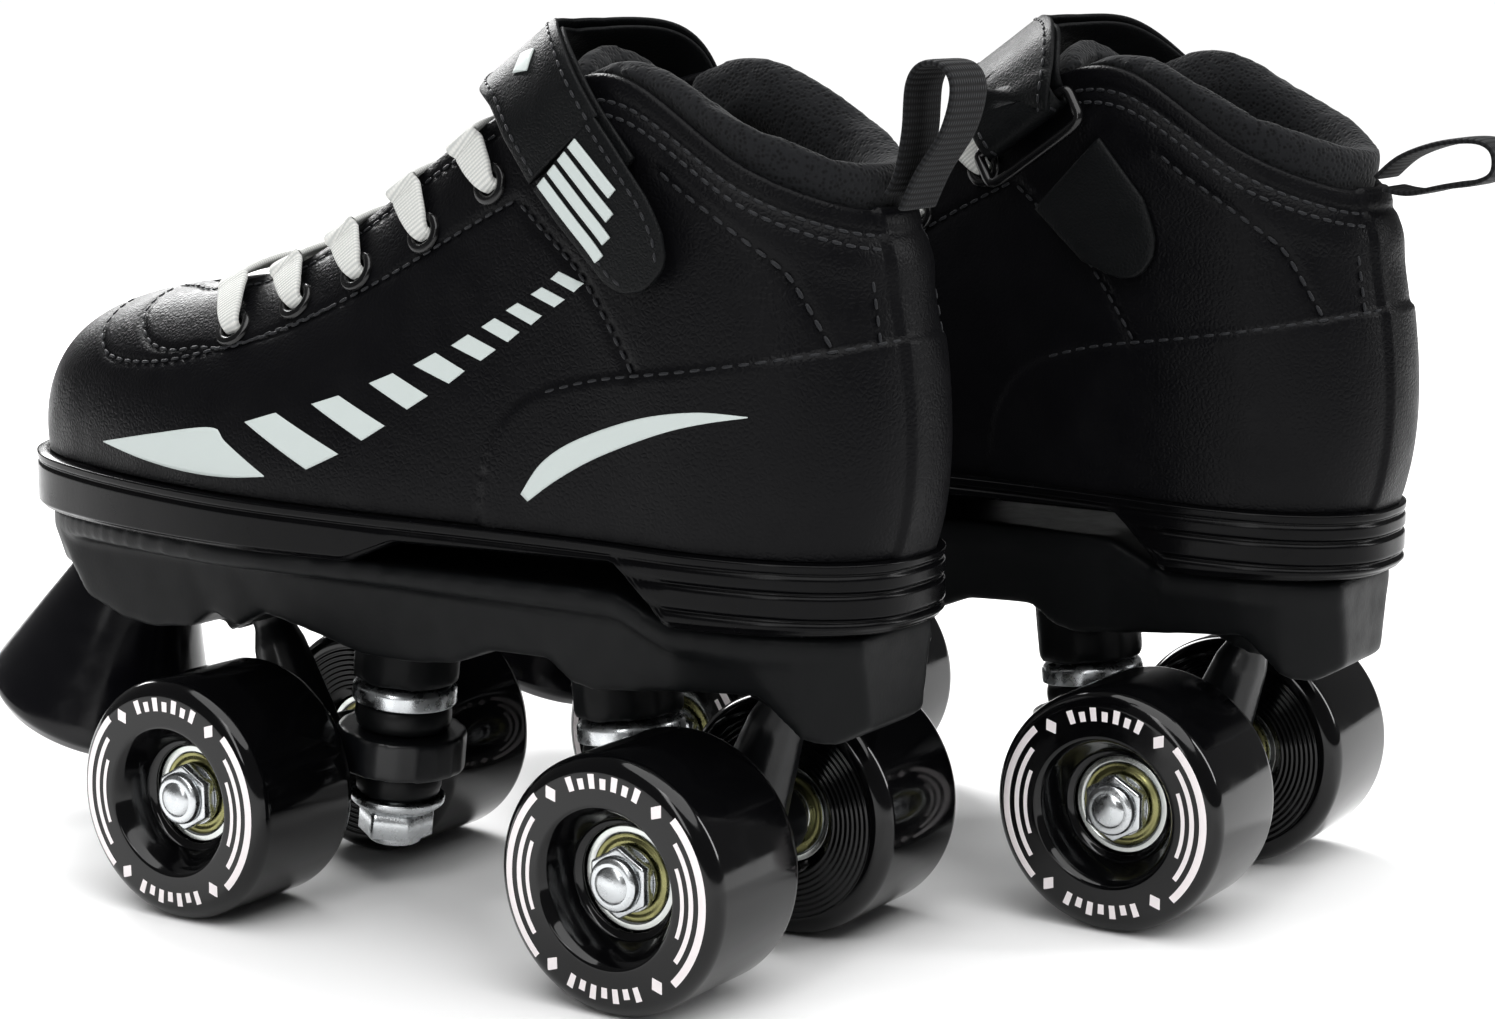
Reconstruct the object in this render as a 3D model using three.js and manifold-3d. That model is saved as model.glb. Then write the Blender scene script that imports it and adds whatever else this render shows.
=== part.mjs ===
// A pair of quad roller skates: padded ankle boots on moulded soles, nylon plates, two steering
// trucks each, four wheels each and a toe stop. Millimetres, +Z up, toes towards +Y.
// The left skate is built about its own centre plane x = 0, with its outer side at -X and the
// floor at z = 0. The right skate is its mirror image.
import * as THREE from "three";
import { mergeVertices } from "three/addons/utils/BufferGeometryUtils.js";
import Module from "manifold-3d";

const wasm = await Module();
wasm.setup();

// ---------------------------------------------------------------- driving dimensions
const WHEEL_R = 27; // tyre radius
const WHEEL_IN = 16.1; // inner face of a tyre, from the centre plane
const WHEEL_OUT = 48.6; // outer face of a tyre
const BEARING_R = 11; // 608 bearing: 22 mm outside, 8 mm bore, 7 mm wide
const BEARING_BORE = 4;
const BEARING_W = 7;
const BEARING_OUT = 39.5; // outer face of the outer bearing
const BEARING_IN = 18.7; // inner face of the inner bearing
const AXLE_Y = 59; // half the wheelbase
const AXLE_R = 3.9;
const GAP = 0.3; // clearance kept between pieces that touch

const SOLE_MID = 13.5; // middle of the sole, along Y
const SOLE_HALF = 117.5; // half its length
const RIM_RISE = 0.0251; // the foot bed climbs this much per mm towards the toe
const RIM_Z = 94.3; // top of the sole at y = 0
const LEATHER = 2.6; // wall of the upper

const PAIR_X = 104.3; // spacing of the two skates
const PAIR_Y = -57.8; // the right skate stands this far back
const PAIR_CENTRE_Y = -15.488; // middle of the pair's length, in the left skate's frame

// Half-widths of the sole and the ribs of the upper, one row every 15 degrees from toe to heel:
// [outer half-width, inner half-width, top edge x, y, z, foot out, foot up, head out, head down]
const RIBS = [
  [49.0, 52.0, 0.0, 86.0, 136.5, 2.5, 23.5, 28.0, 4.0],
  [49.0, 52.0, 4.0, 85.5, 136.6, 2.5, 23.0, 26.0, 4.0],
  [49.5, 50.5, 7.0, 83.0, 137.0, 2.5, 22.0, 22.0, 4.0],
  [47.5, 46.2, 9.5, 78.0, 137.6, 2.5, 21.0, 19.0, 4.0],
  [46.2, 43.2, 13.0, 69.0, 138.0, 2.5, 20.0, 14.5, 4.0],
  [44.7, 39.0, 15.0, 48.0, 142.8, 2.5, 21.0, 10.5, 5.5],
  [41.0, 33.0, 16.0, 24.0, 155.2, 2.5, 23.0, 8.5, 8.0],
  [37.5, 29.8, 17.5, 0.0, 170.6, 3.0, 26.0, 7.5, 12.0],
  [37.0, 32.0, 21.5, -27.5, 182.5, 3.5, 28.0, 6.0, 20.0],
  [41.3, 38.3, 26.5, -49.5, 184.5, 4.0, 28.0, 3.5, 26.0],
  [44.5, 42.7, 25.0, -76.0, 168.5, 5.0, 24.0, 3.5, 22.0],
  [46.0, 44.3, 14.5, -92.0, 161.0, 6.5, 21.0, 4.5, 19.0],
  [46.0, 45.0, 0.0, -98.0, 159.4, 7.5, 20.0, 5.0, 19.0],
];
const RIB_STEP = Math.PI / (RIBS.length - 1);
const HALF_RIBS = 16; // ribs modelled on each side

// ---------------------------------------------------------------- small tools
const V = (x, y, z) => new THREE.Vector3(x, y, z);
const lerp = THREE.MathUtils.lerp;

// A Catmull-Rom value from evenly spaced keys.
function spline(keys, u) {
  const i = Math.min(Math.floor(u), keys.length - 2);
  const f = u - i;
  const a = keys[Math.max(i - 1, 0)];
  const b = keys[i];
  const c = keys[i + 1];
  const d = keys[Math.min(i + 2, keys.length - 1)];
  return b + 0.5 * f * (c - a + f * (2 * a - 5 * b + 4 * c - d + f * (3 * (b - c) + d - a)));
}

// A straight-line value from [position, value] keys that rise in position.
function ramp(keys, at) {
  let i = 0;
  while (i < keys.length - 2 && at > keys[i + 1][0]) i += 1;
  const [x0, y0] = keys[i];
  const [x1, y1] = keys[i + 1];
  return lerp(y0, y1, THREE.MathUtils.clamp((at - x0) / (x1 - x0), 0, 1));
}

// Merges shared vertices, drops collapsed triangles and turns the faces outwards.
function closed(points, triangles) {
  const raw = new THREE.BufferGeometry();
  raw.setAttribute("position", new THREE.Float32BufferAttribute(points.flatMap((p) => p.toArray()), 3));
  raw.setIndex(triangles.flat());
  return tidy(raw);
}

function tidy(geometry) {
  const bare = new THREE.BufferGeometry();
  bare.setAttribute("position", geometry.getAttribute("position"));
  bare.setIndex(geometry.index);
  const merged = mergeVertices(bare, 1e-3);
  const old = merged.index.array;
  const p = merged.getAttribute("position");
  const kept = [];
  let volume = 0;
  for (let i = 0; i < old.length; i += 3) {
    const [a, b, c] = old.slice(i, i + 3);
    if (a === b || b === c || c === a) continue;
    kept.push(a, b, c);
    const [pa, pb, pc] = [a, b, c].map((k) => new THREE.Vector3().fromBufferAttribute(p, k));
    volume += pa.dot(pb.cross(pc));
  }
  if (volume < 0) kept.reverse();
  merged.setIndex(kept);
  return merged;
}

// Sections are closed loops with the same number of points; the two end loops are capped.
function loft(sections) {
  const n = sections[0].length;
  const points = sections.flat();
  const triangles = [];
  for (let s = 0; s + 1 < sections.length; s += 1) {
    for (let k = 0; k < n; k += 1) {
      const a = s * n + k;
      const b = s * n + ((k + 1) % n);
      triangles.push([a, b, b + n], [a, b + n, a + n]);
    }
  }
  const last = (sections.length - 1) * n;
  for (let k = 1; k + 1 < n; k += 1) {
    triangles.push([0, k + 1, k], [last, last + k, last + k + 1]);
  }
  return closed(points, triangles);
}

// A flat band along stations { p: centre, w: unit width direction, width }, of one thickness.
function ribbon(stations, thickness) {
  const centres = stations.map((s) => s.p);
  const sections = stations.map((s, i) => {
    const before = centres[Math.max(i - 1, 0)];
    const after = centres[Math.min(i + 1, centres.length - 1)];
    const along = after.clone().sub(before).normalize();
    const up = along.cross(s.w).normalize();
    const w = s.w.clone().multiplyScalar(s.width / 2);
    up.multiplyScalar(thickness / 2);
    return [
      s.p.clone().add(w).add(up),
      s.p.clone().sub(w).add(up),
      s.p.clone().sub(w).sub(up),
      s.p.clone().add(w).sub(up),
    ];
  });
  return loft(sections);
}

// A turned shape: profile rows [radius, distance along the axis], from `from` towards `to`.
function turned(profile, from, to, segments = 24) {
  const outline = profile.map(([r, h]) => new THREE.Vector2(r, h));
  const geometry = new THREE.LatheGeometry(outline, segments);
  const axis = to.clone().sub(from).normalize();
  geometry.applyQuaternion(new THREE.Quaternion().setFromUnitVectors(V(0, 1, 0), axis));
  geometry.translate(from.x, from.y, from.z);
  return tidy(geometry);
}

const rod = (r, from, to, segments = 24) =>
  turned([[0, 0], [r, 0], [r, from.distanceTo(to)], [0, from.distanceTo(to)]], from, to, segments);

// A hexagonal prism of the given width across flats.
const hexNut = (flats, from, to) => rod(flats / Math.sqrt(3), from, to, 6);

const solidOf = (geometry) => {
  const bare = tidy(geometry);
  return new wasm.Manifold(new wasm.Mesh({
    numProp: 3,
    vertProperties: bare.getAttribute("position").array,
    triVerts: new Uint32Array(bare.index.array),
  }));
};

function geometryOf(solid) {
  const mesh = solid.getMesh();
  const geometry = new THREE.BufferGeometry();
  geometry.setAttribute("position", new THREE.Float32BufferAttribute(mesh.vertProperties, 3));
  geometry.setIndex(Array.from(mesh.triVerts));
  return geometry;
}

const joined = (...parts) => geometryOf(parts.map(solidOf).reduce((a, b) => a.add(b)));
const cut = (body, ...tools) => geometryOf(tools.map(solidOf).reduce((a, b) => a.subtract(b), solidOf(body)));

// ---------------------------------------------------------------- the last: sole outline and skin
const rimTop = (y) => RIM_Z + RIM_RISE * y;

// A point on the sole's outline: t runs from the toe (0) to the heel (pi), side is -1 or 1.
function outline(t, side, inset = 0) {
  const column = side < 0 ? 0 : 1;
  const at = (a) => {
    const width = spline(RIBS.map((r) => r[column]), a / RIB_STEP);
    const x = side * width * Math.sin(a) ** 0.8;
    return new THREE.Vector2(x, SOLE_MID + SOLE_HALF * Math.cos(a));
  };
  const here = at(t);
  const out = outwards(t, side, at);
  return here.sub(out.multiplyScalar(inset));
}

// The outline's outward direction, as a Vector2.
function outwards(t, side, at = (a) => outline(a, side)) {
  if (t < 1e-6) return new THREE.Vector2(0, 1);
  if (t > Math.PI - 1e-6) return new THREE.Vector2(0, -1);
  const before = at(Math.max(t - 0.01, 0));
  const after = at(Math.min(t + 0.01, Math.PI));
  const along = after.sub(before).normalize();
  return new THREE.Vector2(side * -along.y, side * along.x);
}

// The upper's outer skin. Each rib is a cubic curve from the sole (v = 0) to the top edge (v = 1).
function skin(t, side, v) {
  const row = RIBS[0].map((_, k) => spline(RIBS.map((r) => r[k]), t / RIB_STEP));
  const [, , topX, topY, topZ, footOut, footUp, headOut, headDown] = row;
  const out = outwards(t, side);
  const flat = V(out.x, out.y, 0);
  const edge = outline(t, side, 3);
  const foot = V(edge.x, edge.y, rimTop(edge.y) + GAP);
  const top = V(side * topX, topY, topZ);
  const p1 = foot.clone().addScaledVector(flat, footOut).add(V(0, 0, footUp));
  const p2 = top.clone().addScaledVector(flat, headOut).add(V(0, 0, -headDown));
  return new THREE.CubicBezierCurve3(foot, p1, p2, top).getPoint(v);
}

function skinNormal(t, side, v) {
  const dt = 0.02;
  const dv = 0.02;
  const t0 = THREE.MathUtils.clamp(t, dt, Math.PI - dt);
  const across = skin(t0 + dt, side, v).sub(skin(t0 - dt, side, v));
  const along = skin(t, side, Math.min(v + dv, 1)).sub(skin(t, side, Math.max(v - dv, 0)));
  const normal = across.cross(along).multiplyScalar(-side).normalize();
  if (t < dt || t > Math.PI - dt) normal.setX(0).normalize();
  return normal;
}

// The skin's point at a given height and length on one side, lifted off it along its normal.
function onSkin(side, y, z, lift = 0) {
  let best = [Infinity, 1, 0.5];
  let reach = 1;
  for (let pass = 0; pass < 5; pass += 1) {
    const [, t0, v0] = best;
    for (let i = -8; i <= 8; i += 1) {
      for (let k = -8; k <= 8; k += 1) {
        const t = THREE.MathUtils.clamp(t0 + (i / 8) * 1.6 * reach, 0.05, Math.PI);
        const v = THREE.MathUtils.clamp(v0 + (k / 8) * 0.5 * reach, 0, 1);
        const p = skin(t, side, v);
        const miss = Math.hypot(p.y - y, p.z - z);
        if (miss < best[0]) best = [miss, t, v];
      }
    }
    reach /= 4;
  }
  const [, t, v] = best;
  const normal = skinNormal(t, side, v);
  return { p: skin(t, side, v).addScaledVector(normal, lift), n: normal, t, v };
}

// The ribs of one skate, round from the toe along the outer side and back along the inner side.
const ROUND = [];
for (let i = 0; i <= HALF_RIBS; i += 1) ROUND.push([(i * Math.PI) / HALF_RIBS, -1]);
for (let i = HALF_RIBS - 1; i > 0; i -= 1) ROUND.push([(i * Math.PI) / HALF_RIBS, 1]);

// ---------------------------------------------------------------- the boot
const EYELETS = [[54, 129.8], [38.2, 136.4], [21.8, 143.6], [3.8, 152.6], [-13.6, 163.4]];
const EYELET_HOLE_R = 2.9;

function upper() {
  const rows = [0, 0.14, 0.3, 0.46, 0.62, 0.78, 0.9, 1];
  const n = ROUND.length;
  const points = [];
  for (const v of rows) for (const [t, side] of ROUND) points.push(skin(t, side, v));
  for (const v of rows) {
    for (const [t, side] of ROUND) {
      const inner = skin(t, side, v).addScaledVector(skinNormal(t, side, v), -LEATHER);
      inner.z = Math.max(inner.z, skin(t, side, 0).z + LEATHER);
      points.push(inner);
    }
  }
  const triangles = [];
  const inside = rows.length * n;
  const quad = (a, b, c, d) => triangles.push([a, b, c], [a, c, d]);
  for (let r = 0; r + 1 < rows.length; r += 1) {
    for (let k = 0; k < n; k += 1) {
      const a = r * n + k;
      const b = r * n + ((k + 1) % n);
      quad(a, b, b + n, a + n);
      quad(inside + b, inside + a, inside + a + n, inside + b + n);
    }
  }
  const top = (rows.length - 1) * n;
  for (let k = 0; k < n; k += 1) {
    const next = (k + 1) % n;
    quad(top + k, top + next, inside + top + next, inside + top + k);
  }
  for (let i = 0; i < HALF_RIBS; i += 1) {
    const j = (n - i) % n;
    const j2 = (n - i - 1) % n;
    quad(i, j, j2, i + 1);
    quad(inside + j, inside + i, inside + i + 1, inside + j2);
  }
  const holes = [];
  for (const side of [-1, 1]) {
    for (const [y, z] of EYELETS) {
      const { p, n: out } = onSkin(side, y, z);
      const from = p.clone().addScaledVector(out, -2 * LEATHER);
      const to = p.clone().addScaledVector(out, LEATHER);
      holes.push(rod(EYELET_HOLE_R, from, to, 6));
    }
  }
  return cut(closed(points, triangles), ...holes);
}

// Height of the padding above the leather edge, from the front of the ankle to the heel.
const COLLAR_FRONT = 11; // the rib where the padding starts
const COLLAR_RISE = [[11, 2.5], [12, 5], [13, 10], [14, 12], [HALF_RIBS, 11.5]];

function collar() {
  const reach = HALF_RIBS - COLLAR_FRONT;
  const sections = [];
  for (let i = -reach; i <= reach; i += 1) {
    const side = i < 0 ? -1 : 1;
    const rib = HALF_RIBS - Math.abs(i);
    const t = (rib * Math.PI) / HALF_RIBS;
    const rise = ramp(COLLAR_RISE, rib);
    const place = (v, depth, up) =>
      skin(t, side, v).addScaledVector(skinNormal(t, side, v), -depth).add(V(0, 0, up));
    sections.push([
      place(0.78, LEATHER + 0.5, 0),
      place(0.9, LEATHER + 0.5, 0),
      place(1, LEATHER + 0.5, 0.3),
      place(1, 2.2, rise - 1.5),
      place(1, 5.0, rise + 0.5),
      place(1, 8.5, rise - 2.5),
      place(0.9, 9.0, 0),
      place(0.78, 5.5, 0),
    ]);
  }
  return loft(sections);
}

// Tongue: [y, z of its crest, half-width, fall at its edge], from the vamp to its padded top.
const TONGUE = [
  [80, 132.6, 9, 2.0, 2.5],
  [66, 134.4, 13, 4.6, 3.0],
  [46, 139.6, 16, 6.2, 3.5],
  [24, 149.6, 16, 7.0, 4.0],
  [4, 162.5, 14.6, 7.6, 5.0],
  [-7, 175.0, 15.4, 6.8, 6.5],
  [-17, 184.6, 16, 6.6, 7.0],
  [-25.5, 192.5, 14, 5.0, 6.0],
];

function tongue() {
  const sections = TONGUE.map(([y, z, half, fall, thick], i) => {
    const [y0, z0] = TONGUE[Math.max(i - 1, 0)];
    const [y1, z1] = TONGUE[Math.min(i + 1, TONGUE.length - 1)];
    const down = V(0, z1 - z0, -(y1 - y0)).normalize().multiplyScalar(y1 < y0 ? -1 : 1);
    const section = [];
    for (const a of [-1, -0.6, -0.2, 0.2, 0.6, 1]) {
      section.push(V(a * half, y, z).addScaledVector(down, fall * a * a));
    }
    for (const a of [0.9, 0.5, 0.17, -0.17, -0.5, -0.9]) {
      section.push(V(a * half, y, z).addScaledVector(down, thick + fall * a * a));
    }
    return section;
  });
  return loft(sections);
}

// Heel pull loop: a folded webbing tape [y, z], outer leg up, over and down the inner leg.
const LOOP_UP = [
  [-101.2, 160.8], [-104.8, 168], [-110.2, 176], [-112.4, 184], [-110.4, 188.4],
  [-105.6, 189], [-102.6, 185.2], [-101.8, 176], [-100.2, 168], [-97.9, 163.4],
];
const LOOP_BACK = [
  [-101.2, 160.8], [-106.5, 160.2], [-114, 161.8], [-121, 163], [-124.8, 165.2],
  [-124.6, 169.6], [-120.6, 171.6], [-112.5, 170.8], [-104.5, 167.8], [-99.3, 163.4],
];
const LOOP_WIDTH = 14;
const WEBBING = 1.3;

const pullLoop = (route) =>
  ribbon(route.map(([y, z]) => ({ p: V(0, y, z), w: V(1, 0, 0), width: LOOP_WIDTH })), WEBBING);

// ---------------------------------------------------------------- ankle strap
// The strap is sewn on the outer side, crosses the instep, turns round the ring on the inner side
// and comes back over itself. Its free end closes on the outer side with hook and loop.
const STRAP_T = 1.7; // thickness of one layer
const LAYER = 2.3; // spacing of the two layers
const LIFT = 2; // middle of the lower layer above the skin
const STRAP_W = 22;
const RING_Y = -26.5; // middle of the ring's strap bar
const RING_Z = 173.5;
const RING_WIRE = 1.2; // half the thickness of the ring's wire
const TURN_R = RING_WIRE + 0.5 + STRAP_T / 2; // the strap's bend round the bar

// Middle of the lower layer over the instep, outer side to inner side: [x, y, z].
const OVER = [[-20.5, -22, 186.4], [-10.5, -13.4, 187.9], [0, -10, 188.3], [10.5, -13.4, 187.9], [21.4, -22, 186.8]];
const ACROSS = V(0, -0.82, 0.57).normalize(); // the strap's width direction
const SIDE_IN = [-47, 162.5]; // [y, z] of the sewn end on the outer side
const SHOULDER = [[-38.4, 171], [-31.5, 179, 1.2]]; // on the way up the outer side
const INNER_SHOULDER = [-25.5, 180];
const END = [[-38.9, 170.3, 20], [-46.5, 163, 19.5], [-53, 156, 18.5], [-57.2, 150, 16.5], [-60, 145.2, 10]];

const bar = onSkin(1, RING_Y, RING_Z, TURN_R + STRAP_T / 2 + 1.8);
bar.down = ACROSS.clone().cross(bar.n).normalize(); // from the bar towards the anchor tab
if (bar.down.z > 0) bar.down.negate();
bar.n.copy(bar.down).cross(ACROSS).normalize();
if (bar.n.x < 0) bar.n.negate();

// One layer of the strap, lifted by `lift` off the lower layer's line.
function strapLayer(lift, starts) {
  const line = starts.map(([y, z, extra = 0]) => onSkin(-1, y, z, LIFT + lift + extra).p);
  for (const [x, y, z] of OVER) {
    line.push(V(x, y, z).addScaledVector(V(x / 26, 0.35, 0.75).normalize(), lift));
  }
  line.push(onSkin(1, ...INNER_SHOULDER, LIFT + 3.1 + lift).p);
  return line.map((p) => ({ p, w: ACROSS, width: STRAP_W }));
}

function instepStrap() {
  const lower = strapLayer(0, [SIDE_IN, ...SHOULDER]);
  const upperLayer = strapLayer(LAYER, SHOULDER).reverse();
  const turn = [-0.75, -0.5, -0.25, 0, 0.25, 0.5, 0.75].map((a) => {
    const p = bar.p.clone().addScaledVector(bar.n, TURN_R * Math.sin(Math.PI * a));
    if (Math.abs(a) > 0.5) p.copy(bar.p).addScaledVector(bar.n, TURN_R * Math.sign(a)).addScaledVector(bar.down, -3.5);
    else p.addScaledVector(bar.down, TURN_R * Math.cos(Math.PI * a));
    return { p, w: ACROSS, width: STRAP_W };
  });
  return ribbon([...lower, ...turn, ...upperLayer], STRAP_T);
}

function strapEnd() {
  const stations = END.map(([y, z, width]) => ({
    p: onSkin(-1, y, z, LIFT + LAYER + 0.3).p,
    w: ACROSS,
    width,
  }));
  return ribbon(stations, STRAP_T);
}

// ---------------------------------------------------------------- sole, plate and toe stop
const SOLE_FOREFOOT = 84; // underside under the ball of the foot
const SOLE_UNDER = [[-62, 77], [-50, 89], [2, 89], [14, SOLE_FOREFOOT]];
const STATIONS = 14;

// Angles at which the sole and the plate are cut into sections, with extra ones at given lengths.
function stationAngles(lengths) {
  const list = [];
  for (let i = 0; i <= STATIONS; i += 1) list.push((i * Math.PI) / STATIONS);
  for (const y of lengths) list.push(Math.acos((y - SOLE_MID) / SOLE_HALF));
  list.sort((a, b) => a - b);
  return list.filter((t, i) => i === 0 || t - list[i - 1] > 0.02);
}

function soleUnit() {
  const sections = stationAngles(SOLE_UNDER.map(([y]) => y)).map((t) => {
    const left = outline(t, -1);
    const right = outline(t, 1);
    const under = ramp(SOLE_UNDER, left.y);
    const low = outline(t, -1, 1);
    const lowRight = outline(t, 1, 1);
    return [
      V(left.x, left.y, rimTop(left.y)),
      V(left.x, left.y, under + 3),
      V(low.x, low.y, under),
      V(lowRight.x, lowRight.y, under),
      V(right.x, right.y, under + 3),
      V(right.x, right.y, rimTop(right.y)),
    ];
  });
  return loft(sections);
}

// Underside of the plate, from heel to toe.
const PLATE_UNDER = [
  [-98, 57], [-92, 53.5], [-86, 54], [-77, 63], [-59, 61.5], [-37, 59], [-31, 60],
  [-25, 64.4], [-9, 64], [1, 60], [13, 58.8], [26, 59], [41, 62.5], [54, 65],
  [62, 61], [70, 63.5], [76, 59.5], [88, 58], [97, 58.6], [109, 63], [114, 70],
];
const PLATE_TOP = [[-60, 76.5], [-46, 82.4], [14, SOLE_FOREFOOT - GAP]];
const FLANGE = 5; // thickness of the plate's flange
const BOX_HALF = 24; // half-width of the box under the flange
const kingpinY = (z) => 31.4 + (46.3 - z) * 0.1138;
const PIVOT = V(0, 72, 61); // middle of the front pivot cup

// Point on the front kingpin's axis at a height; sign is -1 for the rear truck.
const onKingpin = (z, sign) => V(0, sign * kingpinY(z), z);
const pivotOf = (sign) => V(0, sign * PIVOT.y, PIVOT.z);

function chassis() {
  const angles = stationAngles([...PLATE_UNDER, ...PLATE_TOP].map(([y]) => y)).filter(
    (t) => t > 0.32 && t < Math.PI - 0.26,
  );
  const sections = angles.map((t) => {
    const left = outline(t, -1, 5.5);
    const right = outline(t, 1, 5.5);
    const y = outline(t, -1).y;
    const top = ramp(PLATE_TOP, y);
    const under = ramp(PLATE_UNDER, y);
    const boxLeft = -Math.min(BOX_HALF, -left.x - 1);
    const boxRight = Math.min(BOX_HALF, right.x - 1);
    return [
      V(left.x, y, top),
      V(left.x, y, top - FLANGE),
      V(boxLeft, y, top - FLANGE - 2),
      V(boxLeft + 2.5, y, under),
      V(boxRight - 2.5, y, under),
      V(boxRight, y, top - FLANGE - 2),
      V(right.x, y, top - FLANGE),
      V(right.x, y, top),
    ];
  });
  const bosses = [];
  const holes = [];
  for (const sign of [1, -1]) {
    bosses.push(rod(12.2, onKingpin(66, sign), onKingpin(49.3, sign), 14));
    holes.push(rod(5.4, onKingpin(60.4, sign), onKingpin(40, sign), 12));
    const pivot = pivotOf(sign);
    const down = V(0, -sign * 0.34, -0.94).normalize();
    bosses.push(rod(10.5, pivot.clone().addScaledVector(down, -8), pivot.clone().addScaledVector(down, 3), 12));
    holes.push(turned([[0, -6.6], [6.8, -5], [7.2, 0], [8.4, 6], [0, 6]], pivot, pivot.clone().add(down), 12));
  }
  return cut(joined(loft(sections), ...bosses), ...holes);
}

// Toe stop: a bolt-on rubber cone whose axis leans forward.
const STOP_TOP = V(0, 113.6, 64.4);
const STOP_AXIS = V(0, 0.394, -0.919);

function toeStop() {
  const profile = [[0, 0], [14.5, 0], [26.6, 31.5], [27.2, 34.5], [23.4, 38.6], [0, 38.6]];
  return turned(profile, STOP_TOP, STOP_TOP.clone().add(STOP_AXIS), 20);
}

// ---------------------------------------------------------------- trucks
const RING_MID = 33.4; // height of the hanger ring's middle
const RING_R = 14.8;
const RING_HALF = 4.5;

function hanger(sign) {
  const ring = rod(RING_R, onKingpin(RING_MID + RING_HALF, sign), onKingpin(RING_MID - RING_HALF, sign), 20);
  const hole = rod(6.9, onKingpin(RING_MID + 9, sign), onKingpin(RING_MID - 9, sign), 12);
  const tube = rod(8.3, V(-15.4, sign * AXLE_Y, WHEEL_R), V(15.4, sign * AXLE_Y, WHEEL_R), 14);
  const bore = rod(AXLE_R + 0.2, V(-17, sign * AXLE_Y, WHEEL_R), V(17, sign * AXLE_Y, WHEEL_R), 10);
  const arm = loft([
    [V(-12, sign * 42, 37), V(-12, sign * 42, 30), V(12, sign * 42, 30), V(12, sign * 42, 37)],
    [V(-13, sign * 57, 33), V(-13, sign * 57, 21.5), V(13, sign * 57, 21.5), V(13, sign * 57, 33)],
  ]);
  const pivot = pivotOf(sign);
  const root = V(0, sign * 60.5, 30);
  const length = root.distanceTo(pivot);
  const post = turned(
    [[0, 0], [9, 0], [6.2, length - 9], [4.6, length - 4], [5.2, length], [4, length + 3.6], [0, length + 5]],
    root,
    pivot,
    12,
  );
  return cut(joined(ring, tube, arm, post), hole, bore);
}

// Kingpin bolt with the steel cups above and below the cushions, and its lock nut.
function kingpin(sign) {
  const top = onKingpin(60, sign);
  const down = (z) => top.distanceTo(onKingpin(z, sign));
  const stack = [
    [0, 0], [5, 0], [5, down(49)], [11.8, down(49)], [11.8, down(44.3)], [5, down(44.3)],
    [5, down(22.2)], [10.8, down(22.2)], [10.8, down(18.8)], [5, down(18.8)], [5, down(11)], [0, down(11)],
  ];
  const bolt = turned(stack, top, onKingpin(11, sign), 16);
  return joined(bolt, hexNut(15, onKingpin(19, sign), onKingpin(12, sign)));
}

// A rubber cushion: a ring round the kingpin between two heights.
function cushion(sign, high, low, r) {
  const from = onKingpin(high, sign);
  const to = onKingpin(low, sign);
  const h = from.distanceTo(to);
  return turned([[5.3, 0], [r - 1, 0], [r, 1.2], [r, h - 1.2], [r - 1, h], [5.3, h], [5.3, 0]], from, to, 12);
}

// ---------------------------------------------------------------- wheels
function wheel(side, y) {
  const profile = [
    [BEARING_R + GAP, WHEEL_IN + 2], [16, WHEEL_IN], [23.4, WHEEL_IN], [WHEEL_R, WHEEL_IN + 4],
    [WHEEL_R, WHEEL_OUT - 4], [23.4, WHEEL_OUT], [17, WHEEL_OUT],
    [BEARING_R + GAP, BEARING_OUT + 0.6], [BEARING_R + GAP, WHEEL_IN + 2],
  ];
  const centre = V(0, y, WHEEL_R);
  return turned(profile, centre, centre.clone().add(V(side, 0, 0)), 24);
}

// Two bearings with the spacer between their inner rings, as one turning set.
function bearings(side, y) {
  const outer = BEARING_OUT - BEARING_W;
  const inner = BEARING_IN + BEARING_W;
  const bore = BEARING_BORE + 0.05;
  const profile = [
    [bore, BEARING_IN], [BEARING_R, BEARING_IN], [BEARING_R, inner], [6.4, inner],
    [6.4, outer], [BEARING_R, outer], [BEARING_R, BEARING_OUT], [bore, BEARING_OUT], [bore, BEARING_IN],
  ];
  const centre = V(0, y, WHEEL_R);
  return turned(profile, centre, centre.clone().add(V(side, 0, 0)), 12);
}

const AXLE_TIP = 47.2;
const NUT_IN = BEARING_OUT + 0.6;

function axle(y) {
  const at = (x) => V(x, y, WHEEL_R);
  const parts = [rod(AXLE_R, at(-AXLE_TIP), at(AXLE_TIP), 12)];
  for (const side of [-1, 1]) {
    parts.push(hexNut(13, at(side * NUT_IN), at(side * (NUT_IN + 5.6))));
    parts.push(rod(6, at(side * 15.8), at(side * (BEARING_IN - GAP)), 12));
  }
  return joined(...parts);
}

// ---------------------------------------------------------------- strap ring, anchor and lace
const RING_WIDE = 29;
const RING_DEEP = 9;

// A rectangular wire ring lying on the boot's inner side.
function strapRing() {
  const wire = RING_WIRE;
  const frame = (halfWide, low, high) => {
    const corner = (a, d, k) =>
      bar.p.clone().addScaledVector(ACROSS, a).addScaledVector(bar.down, d).addScaledVector(bar.n, k);
    const loop = (k) => [
      corner(-halfWide, low, k), corner(halfWide, low, k), corner(halfWide, high, k), corner(-halfWide, high, k),
    ];
    return (k0, k1) => loft([loop(k0), loop(k1)]);
  };
  const solid = frame(RING_WIDE / 2, -wire, RING_DEEP + wire)(-wire, wire);
  const hole = frame(RING_WIDE / 2 - 2 * wire, wire, RING_DEEP - wire)(-2 * wire, 2 * wire);
  return cut(solid, hole);
}

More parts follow.
